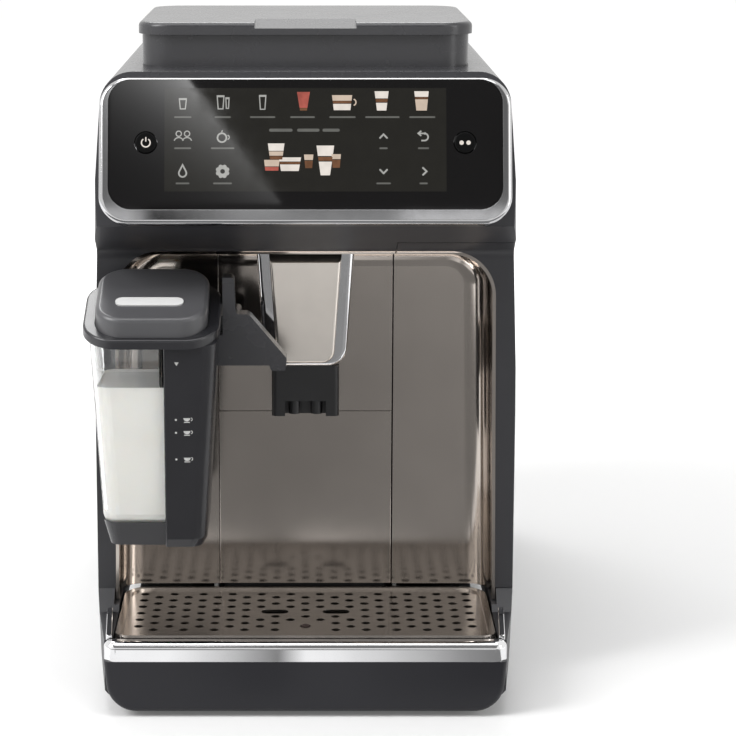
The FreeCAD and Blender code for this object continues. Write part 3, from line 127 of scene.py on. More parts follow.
def floor_paper():
    """White paper that glows more the farther it is from the machine."""
    paper = bpy.data.materials.new("floor_paper")
    paper.use_nodes = True
    tree = paper.node_tree
    surface = tree.nodes["Principled BSDF"]
    surface.inputs["Base Color"].default_value = PAPER_TONE
    surface.inputs["Roughness"].default_value = 0.9
    surface.inputs["Specular IOR Level"].default_value = 0.1
    glow = tree.nodes.new("ShaderNodeEmission")
    place = tree.nodes.new("ShaderNodeTexCoord")
    away = tree.nodes.new("ShaderNodeVectorMath")
    away.operation = "LENGTH"
    link(tree, place, "Object", away, 0)
    fade = tree.nodes.new("ShaderNodeMapRange")
    fade.interpolation_type = "SMOOTHSTEP"
    fade.inputs["From Min"].default_value = LIT_NEAR
    fade.inputs["From Max"].default_value = LIT_FAR
    fade.inputs["To Min"].default_value = GLOW_NEAR
    fade.inputs["To Max"].default_value = GLOW_FAR
    link(tree, away, "Value", fade, "Value")
    lift = tree.nodes.new("ShaderNodeMath")
    lift.operation = "MULTIPLY"
    link(tree, seen_rays(tree), 0, lift, 0)
    link(tree, fade, "Result", lift, 1)
    link(tree, lift, 0, glow, "Strength")
    both = tree.nodes.new("ShaderNodeAddShader")
    link(tree, surface, "BSDF", both, 0)
    link(tree, glow, "Emission", both, 1)
    link(tree, both, 0, tree.nodes["Material Output"], "Surface")
    return paper


floor = sheet("floor", [(-FLOOR_HALF, -FLOOR_HALF, 0), (FLOOR_HALF, -FLOOR_HALF, 0),
                        (FLOOR_HALF, FLOOR_HALF, 0), (-FLOOR_HALF, FLOOR_HALF, 0)])
floor.data.materials.append(floor_paper())
print("floor", 2 * FLOOR_HALF, "m wide")

# %% [markdown]
# ## Studio
# Glossy black and chrome show the room more than themselves, so the room is designed for them.
# White walls stand all around, and two dark curtains hang in front, where the tilted display and
# the edge above it look. Without them the display would turn grey. The world shader makes walls
# and curtains from the direction of each ray. Four large lamps add the highlights and the soft
# shadows to the right and in front: those overhead and behind, together with a lighter painted
# tone on the lids and the deck, make the lids and the top of the machine its lightest part.

# %% Light the studio
WALL_LIFT = 1.12
WALL_LIGHT = 0.48
WALL_TONE = (1.0, 0.995, 0.985, 1.0)
CURTAIN_LIGHT = 0.095
MACHINE_MIDDLE = Vector((0.0, 0.0, 0.2))
# Each curtain: the angle of its middle above the floor, its dark half and its half with the hem.
curtains = ((31, 11, 24), (58, 20, 32))
# Each lamp: its place, width and height in metres, and its power in watts.
lamps = {
    "left_softbox": ((-1.5, -0.9, 1.5), 0.9, 1.2, 30.0),
    "right_softbox": ((1.7, -1.1, 0.9), 0.5, 1.4, 7.0),
    "top_softbox": ((0.0, -0.45, 1.2), 0.9, 0.5, 4.5),
    "back_softbox": ((-0.1, 0.9, 1.5), 1.0, 0.7, 14.0),
}


def curtain(tree, direction, rise, dark, light):
    """Dark within one angle round a direction in front, rising to the walls' light at another."""
    facing = tree.nodes.new("ShaderNodeVectorMath")
    facing.operation = "DOT_PRODUCT"
    tilt = math.radians(rise)
    facing.inputs[1].default_value = (0.0, -math.cos(tilt), math.sin(tilt))
    link(tree, direction, "Generated", facing, 0)
    cloth = tree.nodes.new("ShaderNodeMapRange")
    cloth.interpolation_type = "SMOOTHSTEP"
    cloth.inputs["From Min"].default_value = math.cos(math.radians(light))
    cloth.inputs["From Max"].default_value = math.cos(math.radians(dark))
    cloth.inputs["To Min"].default_value = WALL_LIGHT
    cloth.inputs["To Max"].default_value = CURTAIN_LIGHT
    link(tree, facing, "Value", cloth, "Value")
    return cloth


def studio_walls():
    """The walls' light, with the darker of the two curtains wherever one hangs."""
    world = bpy.data.worlds.new("studio")
    scene.world = world
    world.use_nodes = True
    tree = world.node_tree
    room = tree.nodes["Background"]
    direction = tree.nodes.new("ShaderNodeTexCoord")
    darkest = tree.nodes.new("ShaderNodeMath")
    darkest.operation = "MINIMUM"
    for socket, (rise, dark, light) in enumerate(curtains):
        link(tree, curtain(tree, direction, rise, dark, light), "Result", darkest, socket)
    lift = tree.nodes.new("ShaderNodeMath")
    lift.operation = "MULTIPLY_ADD"
    lift.inputs[1].default_value = WALL_LIFT
    lift.inputs[2].default_value = 1.0
    link(tree, seen_rays(tree), 0, lift, 0)
    strength = tree.nodes.new("ShaderNodeMath")
    strength.operation = "MULTIPLY"
    link(tree, darkest, 0, strength, 0)
    link(tree, lift, 0, strength, 1)
    link(tree, strength, 0, room, "Strength")
    room.inputs["Color"].default_value = WALL_TONE


def softbox(name, place, width, height, power):
    """A large rectangular lamp that looks at the middle of the machine."""
    lamp = bpy.data.lights.new(name, "AREA")
    lamp.shape = "RECTANGLE"
    lamp.size = width
    lamp.size_y = height
    lamp.energy = power
    holder = bpy.data.objects.new(name, lamp)
    holder.location = place
    holder.rotation_mode = "QUATERNION"
    look = MACHINE_MIDDLE - Vector(place)
    holder.rotation_quaternion = look.to_track_quat("-Z", "Y")
    scene.collection.objects.link(holder)


studio_walls()
for name, (place, width, height, power) in lamps.items():
    softbox(name, place, width, height, power)
print("lamps:", list(lamps))

# %% [markdown]
# ## A recipe for finishes
# No moulded or plated surface is one flat colour. Its tone drifts a little from place to place,
# its gloss drifts too, and the tool leaves a fine grain. One recipe can make all of these: wide
# noise for the tone, another for the gloss, and fine noise that is raised as a grain. We could
# paint image textures instead, but noise has no seams and needs no unwrapping, and its size is
# given here in millimetres, so it stays true to the part.

# %% Write the recipe
def noise(tree, size, detail, stretch=(1.0, 1.0, 1.0)):
    """Noise whose spots are about size millimetres across, stretched along an axis where asked."""
    place = tree.nodes.new("ShaderNodeTexCoord")
    scaled = tree.nodes.new("ShaderNodeMapping")
    scaled.inputs["Scale"].default_value = [1.0 / s for s in stretch]
    link(tree, place, "Object", scaled, "Vector")
    spots = tree.nodes.new("ShaderNodeTexNoise")
    spots.inputs["Scale"].default_value = 1.0 / (size * MM)
    spots.inputs["Detail"].default_value = detail
    link(tree, scaled, "Vector", spots, "Vector")
    return spots


def tone_drift(tree, spots, tone, drift):
    """A colour that moves between a darker and a lighter tone."""
    ramp = tree.nodes.new("ShaderNodeValToRGB")
    for stop, factor in zip(ramp.color_ramp.elements, (1.0 - drift, 1.0 + drift)):
        stop.color = [min(1.0, channel * factor) for channel in tone] + [1.0]
    ramp.color_ramp.elements[0].position = 0.3
    ramp.color_ramp.elements[1].position = 0.7
    link(tree, spots, "Fac", ramp, "Fac")
    return ramp


def finish(name, tone, rough, drift=0.08, drift_size=40.0, gloss_drift=0.04, grain=0.0,
           grain_size=0.5, stretch=(1.0, 1.0, 1.0), **sockets):
    """A surface finish. Extra sockets, such as metallic=1.0, go straight onto the shader."""
    made = bpy.data.materials.new(name)
    made.use_nodes = True
    tree = made.node_tree
    surface = tree.nodes["Principled BSDF"]
    clouds = noise(tree, drift_size, 3.0, stretch)
    link(tree, tone_drift(tree, clouds, tone, drift), "Color", surface, "Base Color")
    gloss = tree.nodes.new("ShaderNodeMapRange")
    gloss.inputs["To Min"].default_value = max(0.0, rough - gloss_drift)
    gloss.inputs["To Max"].default_value = rough + gloss_drift
    link(tree, noise(tree, drift_size / 3.0, 4.0, stretch), "Fac", gloss, "Value")
    link(tree, gloss, "Result", surface, "Roughness")
    if grain > 0.0:
        raised = tree.nodes.new("ShaderNodeBump")
        raised.inputs["Strength"].default_value = 1.0
        raised.inputs["Distance"].default_value = grain * MM
        link(tree, noise(tree, grain_size, 2.0, stretch), "Fac", raised, "Height")
        link(tree, raised, "Normal", surface, "Normal")
    for socket, value in sockets.items():
        surface.inputs[socket.replace("_", " ").title().replace("Ior", "IOR")].default_value = value
    return made


print("finish recipe ready")

# %% [markdown]
# ## Plastics
# Most of the machine is moulded from dark grey plastic with a fine satin texture, which breaks
# up reflections. The lids are smoother. Four copies of that plastic carry painted light and shade:
# the lids, the hopper, the deck, the milk spout and the carafe lid get a lighter tone as painted
# light from above, and the tray's front and the carafe column a darker one as painted shade. The
# parts that nobody looks at, such as the tray's tub, are plain black, white or clear. A grain of
# a few thousandths of a millimetre is enough: more would look like sandpaper on a machine of
# this size.

# %% Mix the plastics
ANTHRACITE = (0.030, 0.030, 0.034)
body_satin = finish("body_satin", ANTHRACITE, 0.42, drift=0.06, drift_size=60.0,
                    grain=0.012, grain_size=0.45)
# Painted light: a lighter copy of the body plastic for the lids, the hopper, the deck and the milk
# spout, lit from above.
painted_light_satin = finish("painted_light_satin", (0.042, 0.042, 0.046), 0.27, drift=0.05, drift_size=60.0,
                   grain=0.006, grain_size=0.45)
# Painted shade: a darker copy of the body plastic for the tray's front, low down where less light
# falls.
painted_shade_tray_satin = finish("painted_shade_tray_satin", (0.018, 0.018, 0.022), 0.36, drift=0.06, drift_size=60.0,
                    grain=0.010, grain_size=0.45, specular_ior_level=0.30)
# Painted shade: a darker, glossier copy of the body plastic for the carafe column.
painted_shade_carafe_satin = finish("painted_shade_carafe_satin", (0.020, 0.020, 0.023), 0.24, drift=0.06, drift_size=40.0,
                      grain=0.006, grain_size=0.45)
# Painted light: a lighter copy of the body plastic for the carafe lid, which faces the light from
# above.
painted_light_carafe_lid_satin = finish("painted_light_carafe_lid_satin", (0.084, 0.084, 0.089), 0.30, drift=0.05,
                          drift_size=40.0, grain=0.006, grain_size=0.45)
button_black = finish("button_black", (0.0016, 0.0016, 0.0017), 0.45, drift=0.1, drift_size=6.0,
                      specular_ior_level=0.10)
black_plastic = finish("black_plastic", (0.012, 0.012, 0.013), 0.40, drift=0.15, drift_size=20.0,
                       grain=0.01, grain_size=0.5)
white_plastic = finish("white_plastic", (0.72, 0.72, 0.70), 0.40, drift=0.04, drift_size=25.0,
                       grain=0.006, grain_size=0.6)
float_foam = finish("float_foam", (0.030, 0.016, 0.014), 0.60, drift=0.1, drift_size=8.0,
                    grain=0.02, grain_size=0.4)
bright_white = finish("bright_white", (0.74, 0.74, 0.735), 0.25, drift=0.02, drift_size=15.0,
                      grain=0.003, grain_size=0.5)
clear_plastic = finish("clear_plastic", (0.985, 0.99, 0.99), 0.03, drift=0.01, gloss_drift=0.01,
                       drift_size=30.0, transmission_weight=1.0, ior=1.49)
soft_rubber = finish("soft_rubber", (0.018, 0.018, 0.018), 0.72, drift=0.2, drift_size=6.0,
                     grain=0.02, grain_size=0.4)
print("plastics:", len(bpy.data.materials))

# %% [markdown]
# ## Metal looks
# The cup bay is lined with plastic that carries a smoky metallic lacquer, almost a mirror. The
# spout's cover has a paler lacquer, and the grate a duller one. Chrome plate edges the spout and
# the tray, and a darker chrome edges the display. Inside are turned steel, whose grain runs
# round, and rough castings.

# %% Mix the metals
smoked_mirror = finish("smoked_mirror", (0.505, 0.458, 0.418), 0.13, drift=0.04, drift_size=50.0,
                       gloss_drift=0.02, metallic=1.0)
spout_lacquer = finish("spout_lacquer", (0.90, 0.84, 0.775), 0.30, drift=0.03, drift_size=20.0,
                       grain=0.003, grain_size=0.25, metallic=1.0)
grate_lacquer = finish("grate_lacquer", (0.54, 0.495, 0.455), 0.22, drift=0.06, drift_size=30.0,
                       grain=0.003, grain_size=0.5, metallic=1.0)
smoked_chrome = finish("smoked_chrome", (0.55, 0.55, 0.56), 0.06, drift=0.02, drift_size=15.0,
                       gloss_drift=0.02, metallic=1.0)
chrome = finish("chrome", (0.80, 0.80, 0.81), 0.07, drift=0.02, drift_size=15.0,
                gloss_drift=0.03, metallic=1.0)
turned_steel = finish("turned_steel", (0.40, 0.40, 0.39), 0.30, drift=0.12, drift_size=2.0,
                      stretch=(12.0, 12.0, 1.0), metallic=1.0)
cast_alloy = finish("cast_alloy", (0.52, 0.53, 0.54), 0.45, drift=0.12, drift_size=4.0,
                    grain=0.05, grain_size=0.8, metallic=1.0)
print("finishes so far:", len(bpy.data.materials))

# %% [markdown]
# ## Display glass and circuit board
# The display is black glass over a dark panel, so it is the glossiest and blackest surface on
# the machine. The circuit board inside is green lacquer over copper tracks. Tracks run straight,
# so stretched noise, cut hard into two tones, looks more like them than clouds do.

# %% Mix the display glass and the circuit board
display_glass = finish("display_glass", (0.0042, 0.0038, 0.0040), 0.03, drift=0.15,
                       drift_size=60.0, gloss_drift=0.015, ior=1.5)


def board_lacquer():
    """Green lacquer with straight tracks in a lighter green."""
    made = finish("board_lacquer", (0.02, 0.12, 0.05), 0.30, drift=0.1, drift_size=10.0)
    tree = made.node_tree
    surface = tree.nodes["Principled BSDF"]
    tracks = noise(tree, 2.0, 1.0, (14.0, 1.0, 1.0))
    ramp = tree.nodes.new("ShaderNodeValToRGB")
    ramp.color_ramp.interpolation = "CONSTANT"
    ramp.color_ramp.elements[0].color = (0.012, 0.10, 0.04, 1.0)
    ramp.color_ramp.elements[1].color = (0.05, 0.22, 0.08, 1.0)
    ramp.color_ramp.elements[1].position = 0.55
    link(tree, tracks, "Fac", ramp, "Fac")
    link(tree, ramp, "Color", surface, "Base Color")
    return made


circuit_board = board_lacquer()
print("display and board finishes made")

# %% [markdown]
# ## Dressing the CAD pieces
# Every piece in the record names a material slot. A table from slot to finish dresses most of
# the machine in one loop, and a second table names the few pieces that differ from the rest of
# their slot. Some of them differ only by a lighter or darker tone that is painted light or shade.

# %% Dress the pieces
slot_finish = {
    "anthracite": body_satin, "black": black_plastic, "champagne": smoked_mirror,
    "chrome_plate": chrome, "display": display_glass, "clear": clear_plastic,
    "rubber": soft_rubber, "steel": turned_steel, "white_plastic": white_plastic,
    "red": float_foam, "aluminium": cast_alloy, "board": circuit_board,
}
# The lighter and darker copies of the body plastic in this table are painted light and painted
# shade.
own_finish = {
    "hopper_lid": painted_light_satin, "bean_hopper": painted_light_satin, "top_deck": painted_light_satin,
    "tray_front_panel": painted_shade_tray_satin, "carafe_frame": painted_shade_carafe_satin, "milk_spout": painted_light_satin,
    "carafe_lid": painted_light_carafe_lid_satin, "spout_cover": spout_lacquer,
    "power_button": button_black, "start_button": button_black,
    "spout_outlets": black_plastic,
    "drip_grate": grate_lacquer, "lid_slot_insert": bright_white,
    "display_bezel": smoked_chrome,
}


def dress(piece, made):
    """Puts one finish on all of a piece."""
    if not piece.material_slots:
        piece.data.materials.append(made)
    for slot in piece.material_slots:
        slot.material = made


for subpart in frame["record"]["subparts"]:
    name = subpart["node"]
    dress(nodes[name], own_finish.get(name, slot_finish[subpart["material_slot"]]))

# %% [markdown]
# ## Softened edges
# A real edge is never perfectly sharp, and a round of a fraction of a millimetre gives it a thin
# line of light. A bevel modifier makes that round without touching the mesh. The pieces come in
# as triangles whose corners are not joined, so a weld joins them first. Only corners sharper than
# 50 degrees are rounded: the small steps of a curved wall stay as they are. Weighted normals then
# keep the flat faces flat beside their new rounds.

# %% Soften the outer edges
WELD_GAP = 0.01
SHARP_CORNER = math.radians(50)
edge_round = {
    "hopper_lid": 0.5, "bean_hopper": 0.6, "top_deck": 0.5, "front_fascia": 0.5,
    "left_side_panel": 0.4, "right_side_panel": 0.4, "rear_panel": 0.4, "base_pan": 0.6,
    "tray_front_panel": 0.6, "tray_chrome_strip": 0.5, "base_strip_left": 0.4,
    "base_strip_right": 0.4, "drip_grate": 0.3, "spout_cover": 0.4, "spout_frame": 0.5,
    "spout_nozzle_block": 0.5, "carafe_frame": 0.8, "milk_spout": 0.8, "carafe_lid": 0.6,
    "lid_slot_insert": 0.3, "tank_jamb": 0.5, "display_bezel": 0.15, "grind_knob": 0.4,
    "bay_left_panel": 0.3, "bay_upper_panel": 0.3, "tank_liner": 0.3, "grounds_panel": 0.3,
}


def soften(piece, radius):
    """Rounds the sharp edges of a piece by a radius in millimetres."""
    weld = piece.modifiers.new("joined corners", "WELD")
    weld.merge_threshold = WELD_GAP * MM
    bevel = piece.modifiers.new("soft edges", "BEVEL")
    bevel.width = radius * MM
    bevel.segments = 2
    bevel.limit_method = "ANGLE"
    bevel.angle_limit = SHARP_CORNER
    normals = piece.modifiers.new("flat faces", "WEIGHTED_NORMAL")
    normals.keep_sharp = True


for name, radius in edge_round.items():
    soften(nodes[name], radius)
print("softened:", len(edge_round))

# %% [markdown]
# ## Drawing on a flat side
# What the display shows, and the marks on the handle, are thin flat shapes on a side of the
# machine. We find that side on the CAD piece itself: the face that a line from outside meets
# first gives a plane. Shapes are then drawn in millimetres across and up that plane, as patches
# and as ribbons along a bent line, and a solidify modifier gives them a thickness.

# %% Make the drawing tools
LINE_LENGTH = 0.05
SAME_CORNER = 0.002
FILM = 0.02
FILM_LIFT = 0.02


def flat_side(node, toward, middle):
    """The side of a CAD piece that a line to middle meets when it comes from a given way."""
    toward = Vector(toward).normalized()
    mesh = nodes[node].data
    corners = [corner.co for corner in mesh.vertices]
    skin = BVHTree.FromPolygons(corners, [face.vertices for face in mesh.polygons])
    spot, outward = skin.ray_cast(Vector(middle) + toward * LINE_LENGTH, -toward)[:2]
    across = Vector((1.0, 0.0, 0.0))
    across = (across - outward * across.dot(outward)).normalized()
    up = outward.cross(across).normalized()
    return spot, across, up, outward


def ribbon(points, width, closed=False):
    """Four-cornered patches along a bent line, mitred at its corners."""
    spots = [Vector(p) for p in points]
    last = len(spots) - 1
    ends = []
    for i, here in enumerate(spots):
        before = spots[i - 1] if closed or i > 0 else None
        after = spots[(i + 1) % len(spots)] if closed or i < last else None
        leaving = (after - here).normalized() if after is not None else None
        arriving = (here - before).normalized() if before is not None else leaving
        leaving = arriving if leaving is None else leaving
        along = (arriving + leaving).normalized()
        reach = width / 2 / max(0.5, along.dot(arriving))
        side = Vector((-along.y, along.x)) * reach
        ends.append((here + side, here - side))
    pairs = list(zip(ends, ends[1:] + ends[:1]))
    if not closed:
        pairs.pop()
    return [[a[0], a[1], b[1], b[0]] for a, b in pairs]


def arc(u, v, radius, start, stop, steps):
    """Points on part of a circle, with angles in degrees."""
    turns = [math.radians(start + (stop - start) * i / steps) for i in range(steps + 1)]
    return [(u + radius * math.cos(t), v + radius * math.sin(t)) for t in turns]


def bar(u, v, width, height):
    """A bar with rounded ends, as one patch round its middle."""
    r = height / 2
    half = width / 2 - r
    return arc(u + half, v, r, -90, 90, 6) + arc(u - half, v, r, 90, 270, 6)


def lay(name, side, patches, made, lift=FILM_LIFT, thick=FILM):
    """Lays patches on a flat side as one thin piece."""
    middle, across, up, outward = side
    work = bmesh.new()
    for patch in patches:
        corners = []
        for u, v in patch:
            spot = middle + across * (u * MM) + up * (v * MM) + outward * (lift * MM)
            corners.append(work.verts.new(spot))
        face = work.faces.new(corners)
        face.normal_update()
        if face.normal.dot(outward) < 0:
            face.normal_flip()
    bmesh.ops.remove_doubles(work, verts=work.verts, dist=SAME_CORNER * MM)
    mesh = bpy.data.meshes.new(name)
    work.to_mesh(mesh)
    work.free()
    piece = bpy.data.objects.new(name, mesh)
    scene.collection.objects.link(piece)
    dress(piece, made)
    thickness = piece.modifiers.new("thickness", "SOLIDIFY")
    thickness.thickness = thick * MM
    thickness.offset = 1.0
    return piece


def middle_of(node):
    """The middle of the box that a CAD piece fills."""
    low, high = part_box(node)
    return (Vector(low) + Vector(high)) / 2


display_middle = (middle_of("power_button") + middle_of("start_button")) / 2
display_side = flat_side("display_glass", (0.0, -1.0, 0.3), display_middle)
print("display looks along", tuple(round(c, 3) for c in display_side[3]))

# %% [markdown]
# ## What the display shows
# The screen behind the glass glows very dimly where it is dark, and its icons are bright. The
# icons could be an image, but shapes stay sharp from close by. Two rows of signs and one row of
# drinks stand on a regular grid, each over a short bar. Light comes from the emission socket,
# with noise in its colour for the small unevenness of a backlight.

# %% Mix the light of the screen
def screen_light(name, tone, drift=0.08):
    """A glowing patch behind gloss, with an uneven backlight."""
    made = finish(name, (0.004, 0.004, 0.004), 0.05, drift=0.1, drift_size=20.0)
    tree = made.node_tree
    surface = tree.nodes["Principled BSDF"]
    glow = tone_drift(tree, noise(tree, 6.0, 2.0), tone, drift)
    link(tree, glow, "Color", surface, "Emission Color")
    surface.inputs["Emission Strength"].default_value = 1.0
    return made


screen_dark = screen_light("screen_dark", (0.011, 0.010, 0.0075))
sign_white = screen_light("sign_white", (0.40, 0.40, 0.38))
word_grey = screen_light("word_grey", (0.13, 0.13, 0.12))
milk_white = screen_light("milk_white", (0.78, 0.72, 0.66))
foam_cream = screen_light("foam_cream", (0.62, 0.50, 0.40))
coffee_brown = screen_light("coffee_brown", (0.17, 0.075, 0.035), 0.25)
tea_red = screen_light("tea_red", (0.42, 0.10, 0.075), 0.25)
print("screen lights made")

# %% Draw the signs
COLUMN = 22.1
FIRST_COLUMN = -67.9
DRINK_ROW = 22.7
SIGN_ROW = 3.6
LOW_ROW = -16.0
STROKE = 0.6
BOLD = 0.9
TEETH = 8
NUDGE = 0.6
columns = [FIRST_COLUMN + i * COLUMN for i in range(7)]


def glass_sign(u, v, half, height):
    """A small glass seen from the side: its rim and two walls."""
    low, high = v - height / 2, v + height / 2
    wall = [(u - half, high), (u - half * 0.7, low), (u + half * 0.7, low), (u + half, high)]
    return ribbon(wall, STROKE) + [bar(u, high - 0.5, 2.2 * half, 1.1)]


def person_sign(u, v):
    """A head over shoulders."""
    shoulders = arc(u, v - 3.4, 2.7, 20, 160, 8)
    return ribbon(arc(u, v + 1.4, 1.5, 0, 330, 11), STROKE, True) + ribbon(shoulders, STROKE)


def drop_sign(u, v):
    """A drop of water."""
    round_foot = arc(u, v - 1.0, 2.1, -205, 25, 12)
    return ribbon([(u, v + 3.6)] + round_foot, BOLD, True)


def cup_sign(u, v):
    """A cup from above, with its handle and a wisp of steam."""
    bowl = arc(u - 0.4, v - 0.8, 2.5, -180, 150, 14)
    handle = arc(u + 2.5, v - 0.6, 1.2, -80, 80, 6)
    steam = [(u - 0.6, v + 2.2), (u - 0.1, v + 3.4)]
    return ribbon(bowl, BOLD, True) + ribbon(handle, STROKE) + ribbon(steam, STROKE)


def gear_sign(u, v):
    """A ring with eight notches in its rim, as one patch for each step round it."""
    steps = 3 * TEETH
    step = 360 / steps
    rim = []
    for i in range(steps):
        radius = 3.9 if i % 3 else 3.3
        turn = math.radians(i * step)
        rim.append((u + radius * math.cos(turn), v + radius * math.sin(turn)))
    hole = arc(u, v, 1.3, 0, 360 - step, steps - 1)
    after = [(i + 1) % steps for i in range(steps)]
    return [[rim[i], rim[j], hole[j], hole[i]] for i, j in enumerate(after)]


def chevron_sign(u, v, turn):
    """An arrow head that points right, turned by some degrees."""
    cos, sin = math.cos(math.radians(turn)), math.sin(math.radians(turn))
    tip = [(-1.2, 2.2), (1.1, 0.0), (-1.2, -2.2)]
    return ribbon([(u + a * cos - b * sin, v + a * sin + b * cos) for a, b in tip], 0.95)


def return_sign(u, v):
    """A hooked arrow that points back to the left."""
    hook = [(u - 2.6, v + 1.6), (u + 0.6, v + 1.6)] + arc(u + 0.6, v - 0.4, 2.0, 90, -90, 8)
    head = [(u - 1.2, v + 3.0), (u - 2.9, v + 1.6), (u - 1.2, v + 0.2)]
    return ribbon(hook + [(u - 1.2, v - 2.4)], 0.85) + ribbon(head, 0.85)


signs = glass_sign(columns[0], DRINK_ROW - 0.8, 2.0, 6.0)
signs += glass_sign(columns[1] - 1.2, DRINK_ROW, 1.9, 7.6)
signs += glass_sign(columns[1] + 2.6, DRINK_ROW - 0.4, 0.9, 6.2)
signs += glass_sign(columns[2], DRINK_ROW, 1.8, 8.0)
signs += person_sign(columns[0] - 2.2, SIGN_ROW) + person_sign(columns[0] + 2.4, SIGN_ROW)
signs += cup_sign(columns[1], SIGN_ROW)
signs += drop_sign(columns[0], LOW_ROW) + gear_sign(columns[1], LOW_ROW)
signs += chevron_sign(columns[5] + NUDGE, SIGN_ROW, 90)
signs += return_sign(columns[6] + NUDGE, SIGN_ROW)
signs += chevron_sign(columns[5] + NUDGE, LOW_ROW, -90)
signs += chevron_sign(columns[6] + 2 * NUDGE, LOW_ROW, 0)
print("patches of signs:", len(signs))

# %% Draw the bars and the drinks
DRINK_WORD_DROP = 8.4
SIGN_WORD_DROP = 6.7
WORD_HEIGHT = 0.95
PROMPT_ROW = 7.0
PROMPT_HEIGHT = 1.7
drink_words = (9.6, 9.0, 14.0, 13.6, 14.6, 19.0, 14.4)
# The width of the bar under each sign, by its column.
sign_words = {
    SIGN_ROW: {0: 9.4, 1: 13.0, 5: 4.6, 6: 6.2},
    LOW_ROW: {0: 7.6, 1: 10.4, 5: 8.0, 6: 4.6},
}
words = [bar(u, DRINK_ROW - DRINK_WORD_DROP, w, WORD_HEIGHT) for u, w in zip(columns, drink_words)]
for row, widths in sign_words.items():
    for column, width in widths.items():
        u = columns[column] + (NUDGE if column > 1 else 0.0)
        words.append(bar(u, row - SIGN_WORD_DROP, width, WORD_HEIGHT))
prompt_words = ((-13.6, 13.0), (1.6, 12.4), (14.2, 9.6))
prompt = [bar(u, PROMPT_ROW, width, PROMPT_HEIGHT) for u, width in prompt_words]

DRINK_FOOT = 18.0
MILK, FOAM, COFFEE, TEA = "milk_white", "foam_cream", "coffee_brown", "tea_red"
drinks = {tone: [] for tone in (MILK, FOAM, COFFEE, TEA)}


def drink(u, foot, top_half, low_half, height, layers):
    """A tapered cup or glass of coloured layers, each from one share of its height to another."""
    for low, high, tone in layers:
        corners = []
        for share, side in ((low, -1), (low, 1), (high, 1), (high, -1)):
            half = low_half + (top_half - low_half) * share
            corners.append((u + side * half, foot + height * share))
        drinks[tone].append(corners)


drink(columns[3] + 0.5, DRINK_FOOT, 3.6, 1.9, 10.4, [(0.0, 0.12, COFFEE), (0.14, 1.0, TEA)])
drink(columns[4] - 0.2, DRINK_FOOT + 0.2, 5.6, 4.6, 8.4,
      [(0.0, 0.42, MILK), (0.45, 0.6, COFFEE), (0.63, 1.0, FOAM)])
drink(columns[5] - 0.4, DRINK_FOOT, 3.9, 2.6, 10.8,
      [(0.0, 0.4, MILK), (0.43, 0.6, COFFEE), (0.63, 1.0, MILK)])
drink(columns[6] - 0.4, DRINK_FOOT, 4.0, 2.9, 10.8,
      [(0.0, 0.58, FOAM), (0.61, 0.68, COFFEE), (0.71, 1.0, MILK)])
mug_handle = arc(columns[4] + 5.6, DRINK_FOOT + 4.6, 1.9, -70, 70, 6)
drinks[FOAM] += ribbon(mug_handle, 0.7)
drink(-16.2, -9.4, 4.6, 3.4, 9.0, [(0.0, 0.2, COFFEE), (0.24, 0.5, FOAM), (0.54, 1.0, MILK)])
drink(-18.6, -15.6, 4.4, 3.6, 7.0, [(0.0, 0.3, TEA), (0.34, 0.86, FOAM)])
drink(-8.6, -15.8, 6.2, 4.9, 7.6, [(0.0, 0.48, MILK), (0.52, 0.66, COFFEE), (0.7, 1.0, MILK)])
drink(1.8, -14.2, 2.6, 1.9, 7.6, [(0.0, 0.55, COFFEE), (0.6, 1.0, FOAM)])
drink(11.0, -18.2, 4.9, 2.6, 16.6, [(0.0, 0.46, MILK), (0.49, 0.62, COFFEE), (0.65, 1.0, MILK)])
drink(17.0, -14.0, 2.6, 2.0, 7.6, [(0.0, 0.6, COFFEE), (0.64, 1.0, FOAM)])
print("drinks:", {tone: len(patches) for tone, patches in drinks.items()})

# %% Lay them on the glass
SCREEN_HALF = 78.0
SCREEN_LOW = -27.2
SCREEN_HIGH = 30.6
SIGN_LIFT = 0.06
screen_patch = [(-SCREEN_HALF, SCREEN_LOW), (SCREEN_HALF, SCREEN_LOW),
                (SCREEN_HALF, SCREEN_HIGH), (-SCREEN_HALF, SCREEN_HIGH)]
shown = [lay("screen_panel", display_side, [screen_patch], screen_dark)]
for part, patches, light in (("signs", signs, sign_white), ("words", words, word_grey),
                             ("prompt", prompt, word_grey)):
    shown.append(lay("screen_" + part, display_side, patches, light, SIGN_LIFT))
drink_light = {MILK: milk_white, FOAM: foam_cream, COFFEE: coffee_brown, TEA: tea_red}
for step, (tone, patches) in enumerate(drinks.items()):
    lift = SIGN_LIFT + FILM * step
    shown.append(lay("screen_" + tone, display_side, patches, drink_light[tone], lift))
for piece in shown:
    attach(piece, "machine")
print("display pieces:", len(shown))

# %% [markdown]
# ## Cards around the camera
# Glass and chrome show what stands in front of them, so a photographer hangs cards around the
# camera, just out of its view. A mirror sends the camera's ray on as if it came from the
# camera's image behind the glass. A card's corner is therefore found by a line from that image
# through the spot on the glass where the corner is to show. One card gives the display its soft
# slanted shine, one grades the chrome under it, and two lie on the floor for the cup bay and the
# tray's edge. Only shiny surfaces see the cards: the floor stays pale and the light stays soft.

# %% Hang the cards
CARD_REACH = 1.9
CARD_STEPS = 24
glass_middle, glass_across, glass_up, glass_outward = display_side
camera_out = (camera.location - glass_middle).dot(glass_outward)
image_of_camera = camera.location - 2 * camera_out * glass_outward


def seen_in_glass(u, v):
    """The place in front of the display that shows at u, v on its glass."""
    spot = glass_middle + glass_across * (u * MM) + glass_up * (v * MM)
    return image_of_camera + (spot - image_of_camera) * CARD_REACH


def card_light(name):
    """A glow whose strength is stored on the corners of the card."""
    made = bpy.data.materials.new(name)
    made.use_nodes = True
    tree = made.node_tree
    shine = tree.nodes.new("ShaderNodeAttribute")
    shine.attribute_name = "shine"
    glow = tree.nodes.new("ShaderNodeEmission")
    link(tree, shine, "Fac", glow, "Strength")
    link(tree, glow, "Emission", tree.nodes["Material Output"], "Surface")
    return made


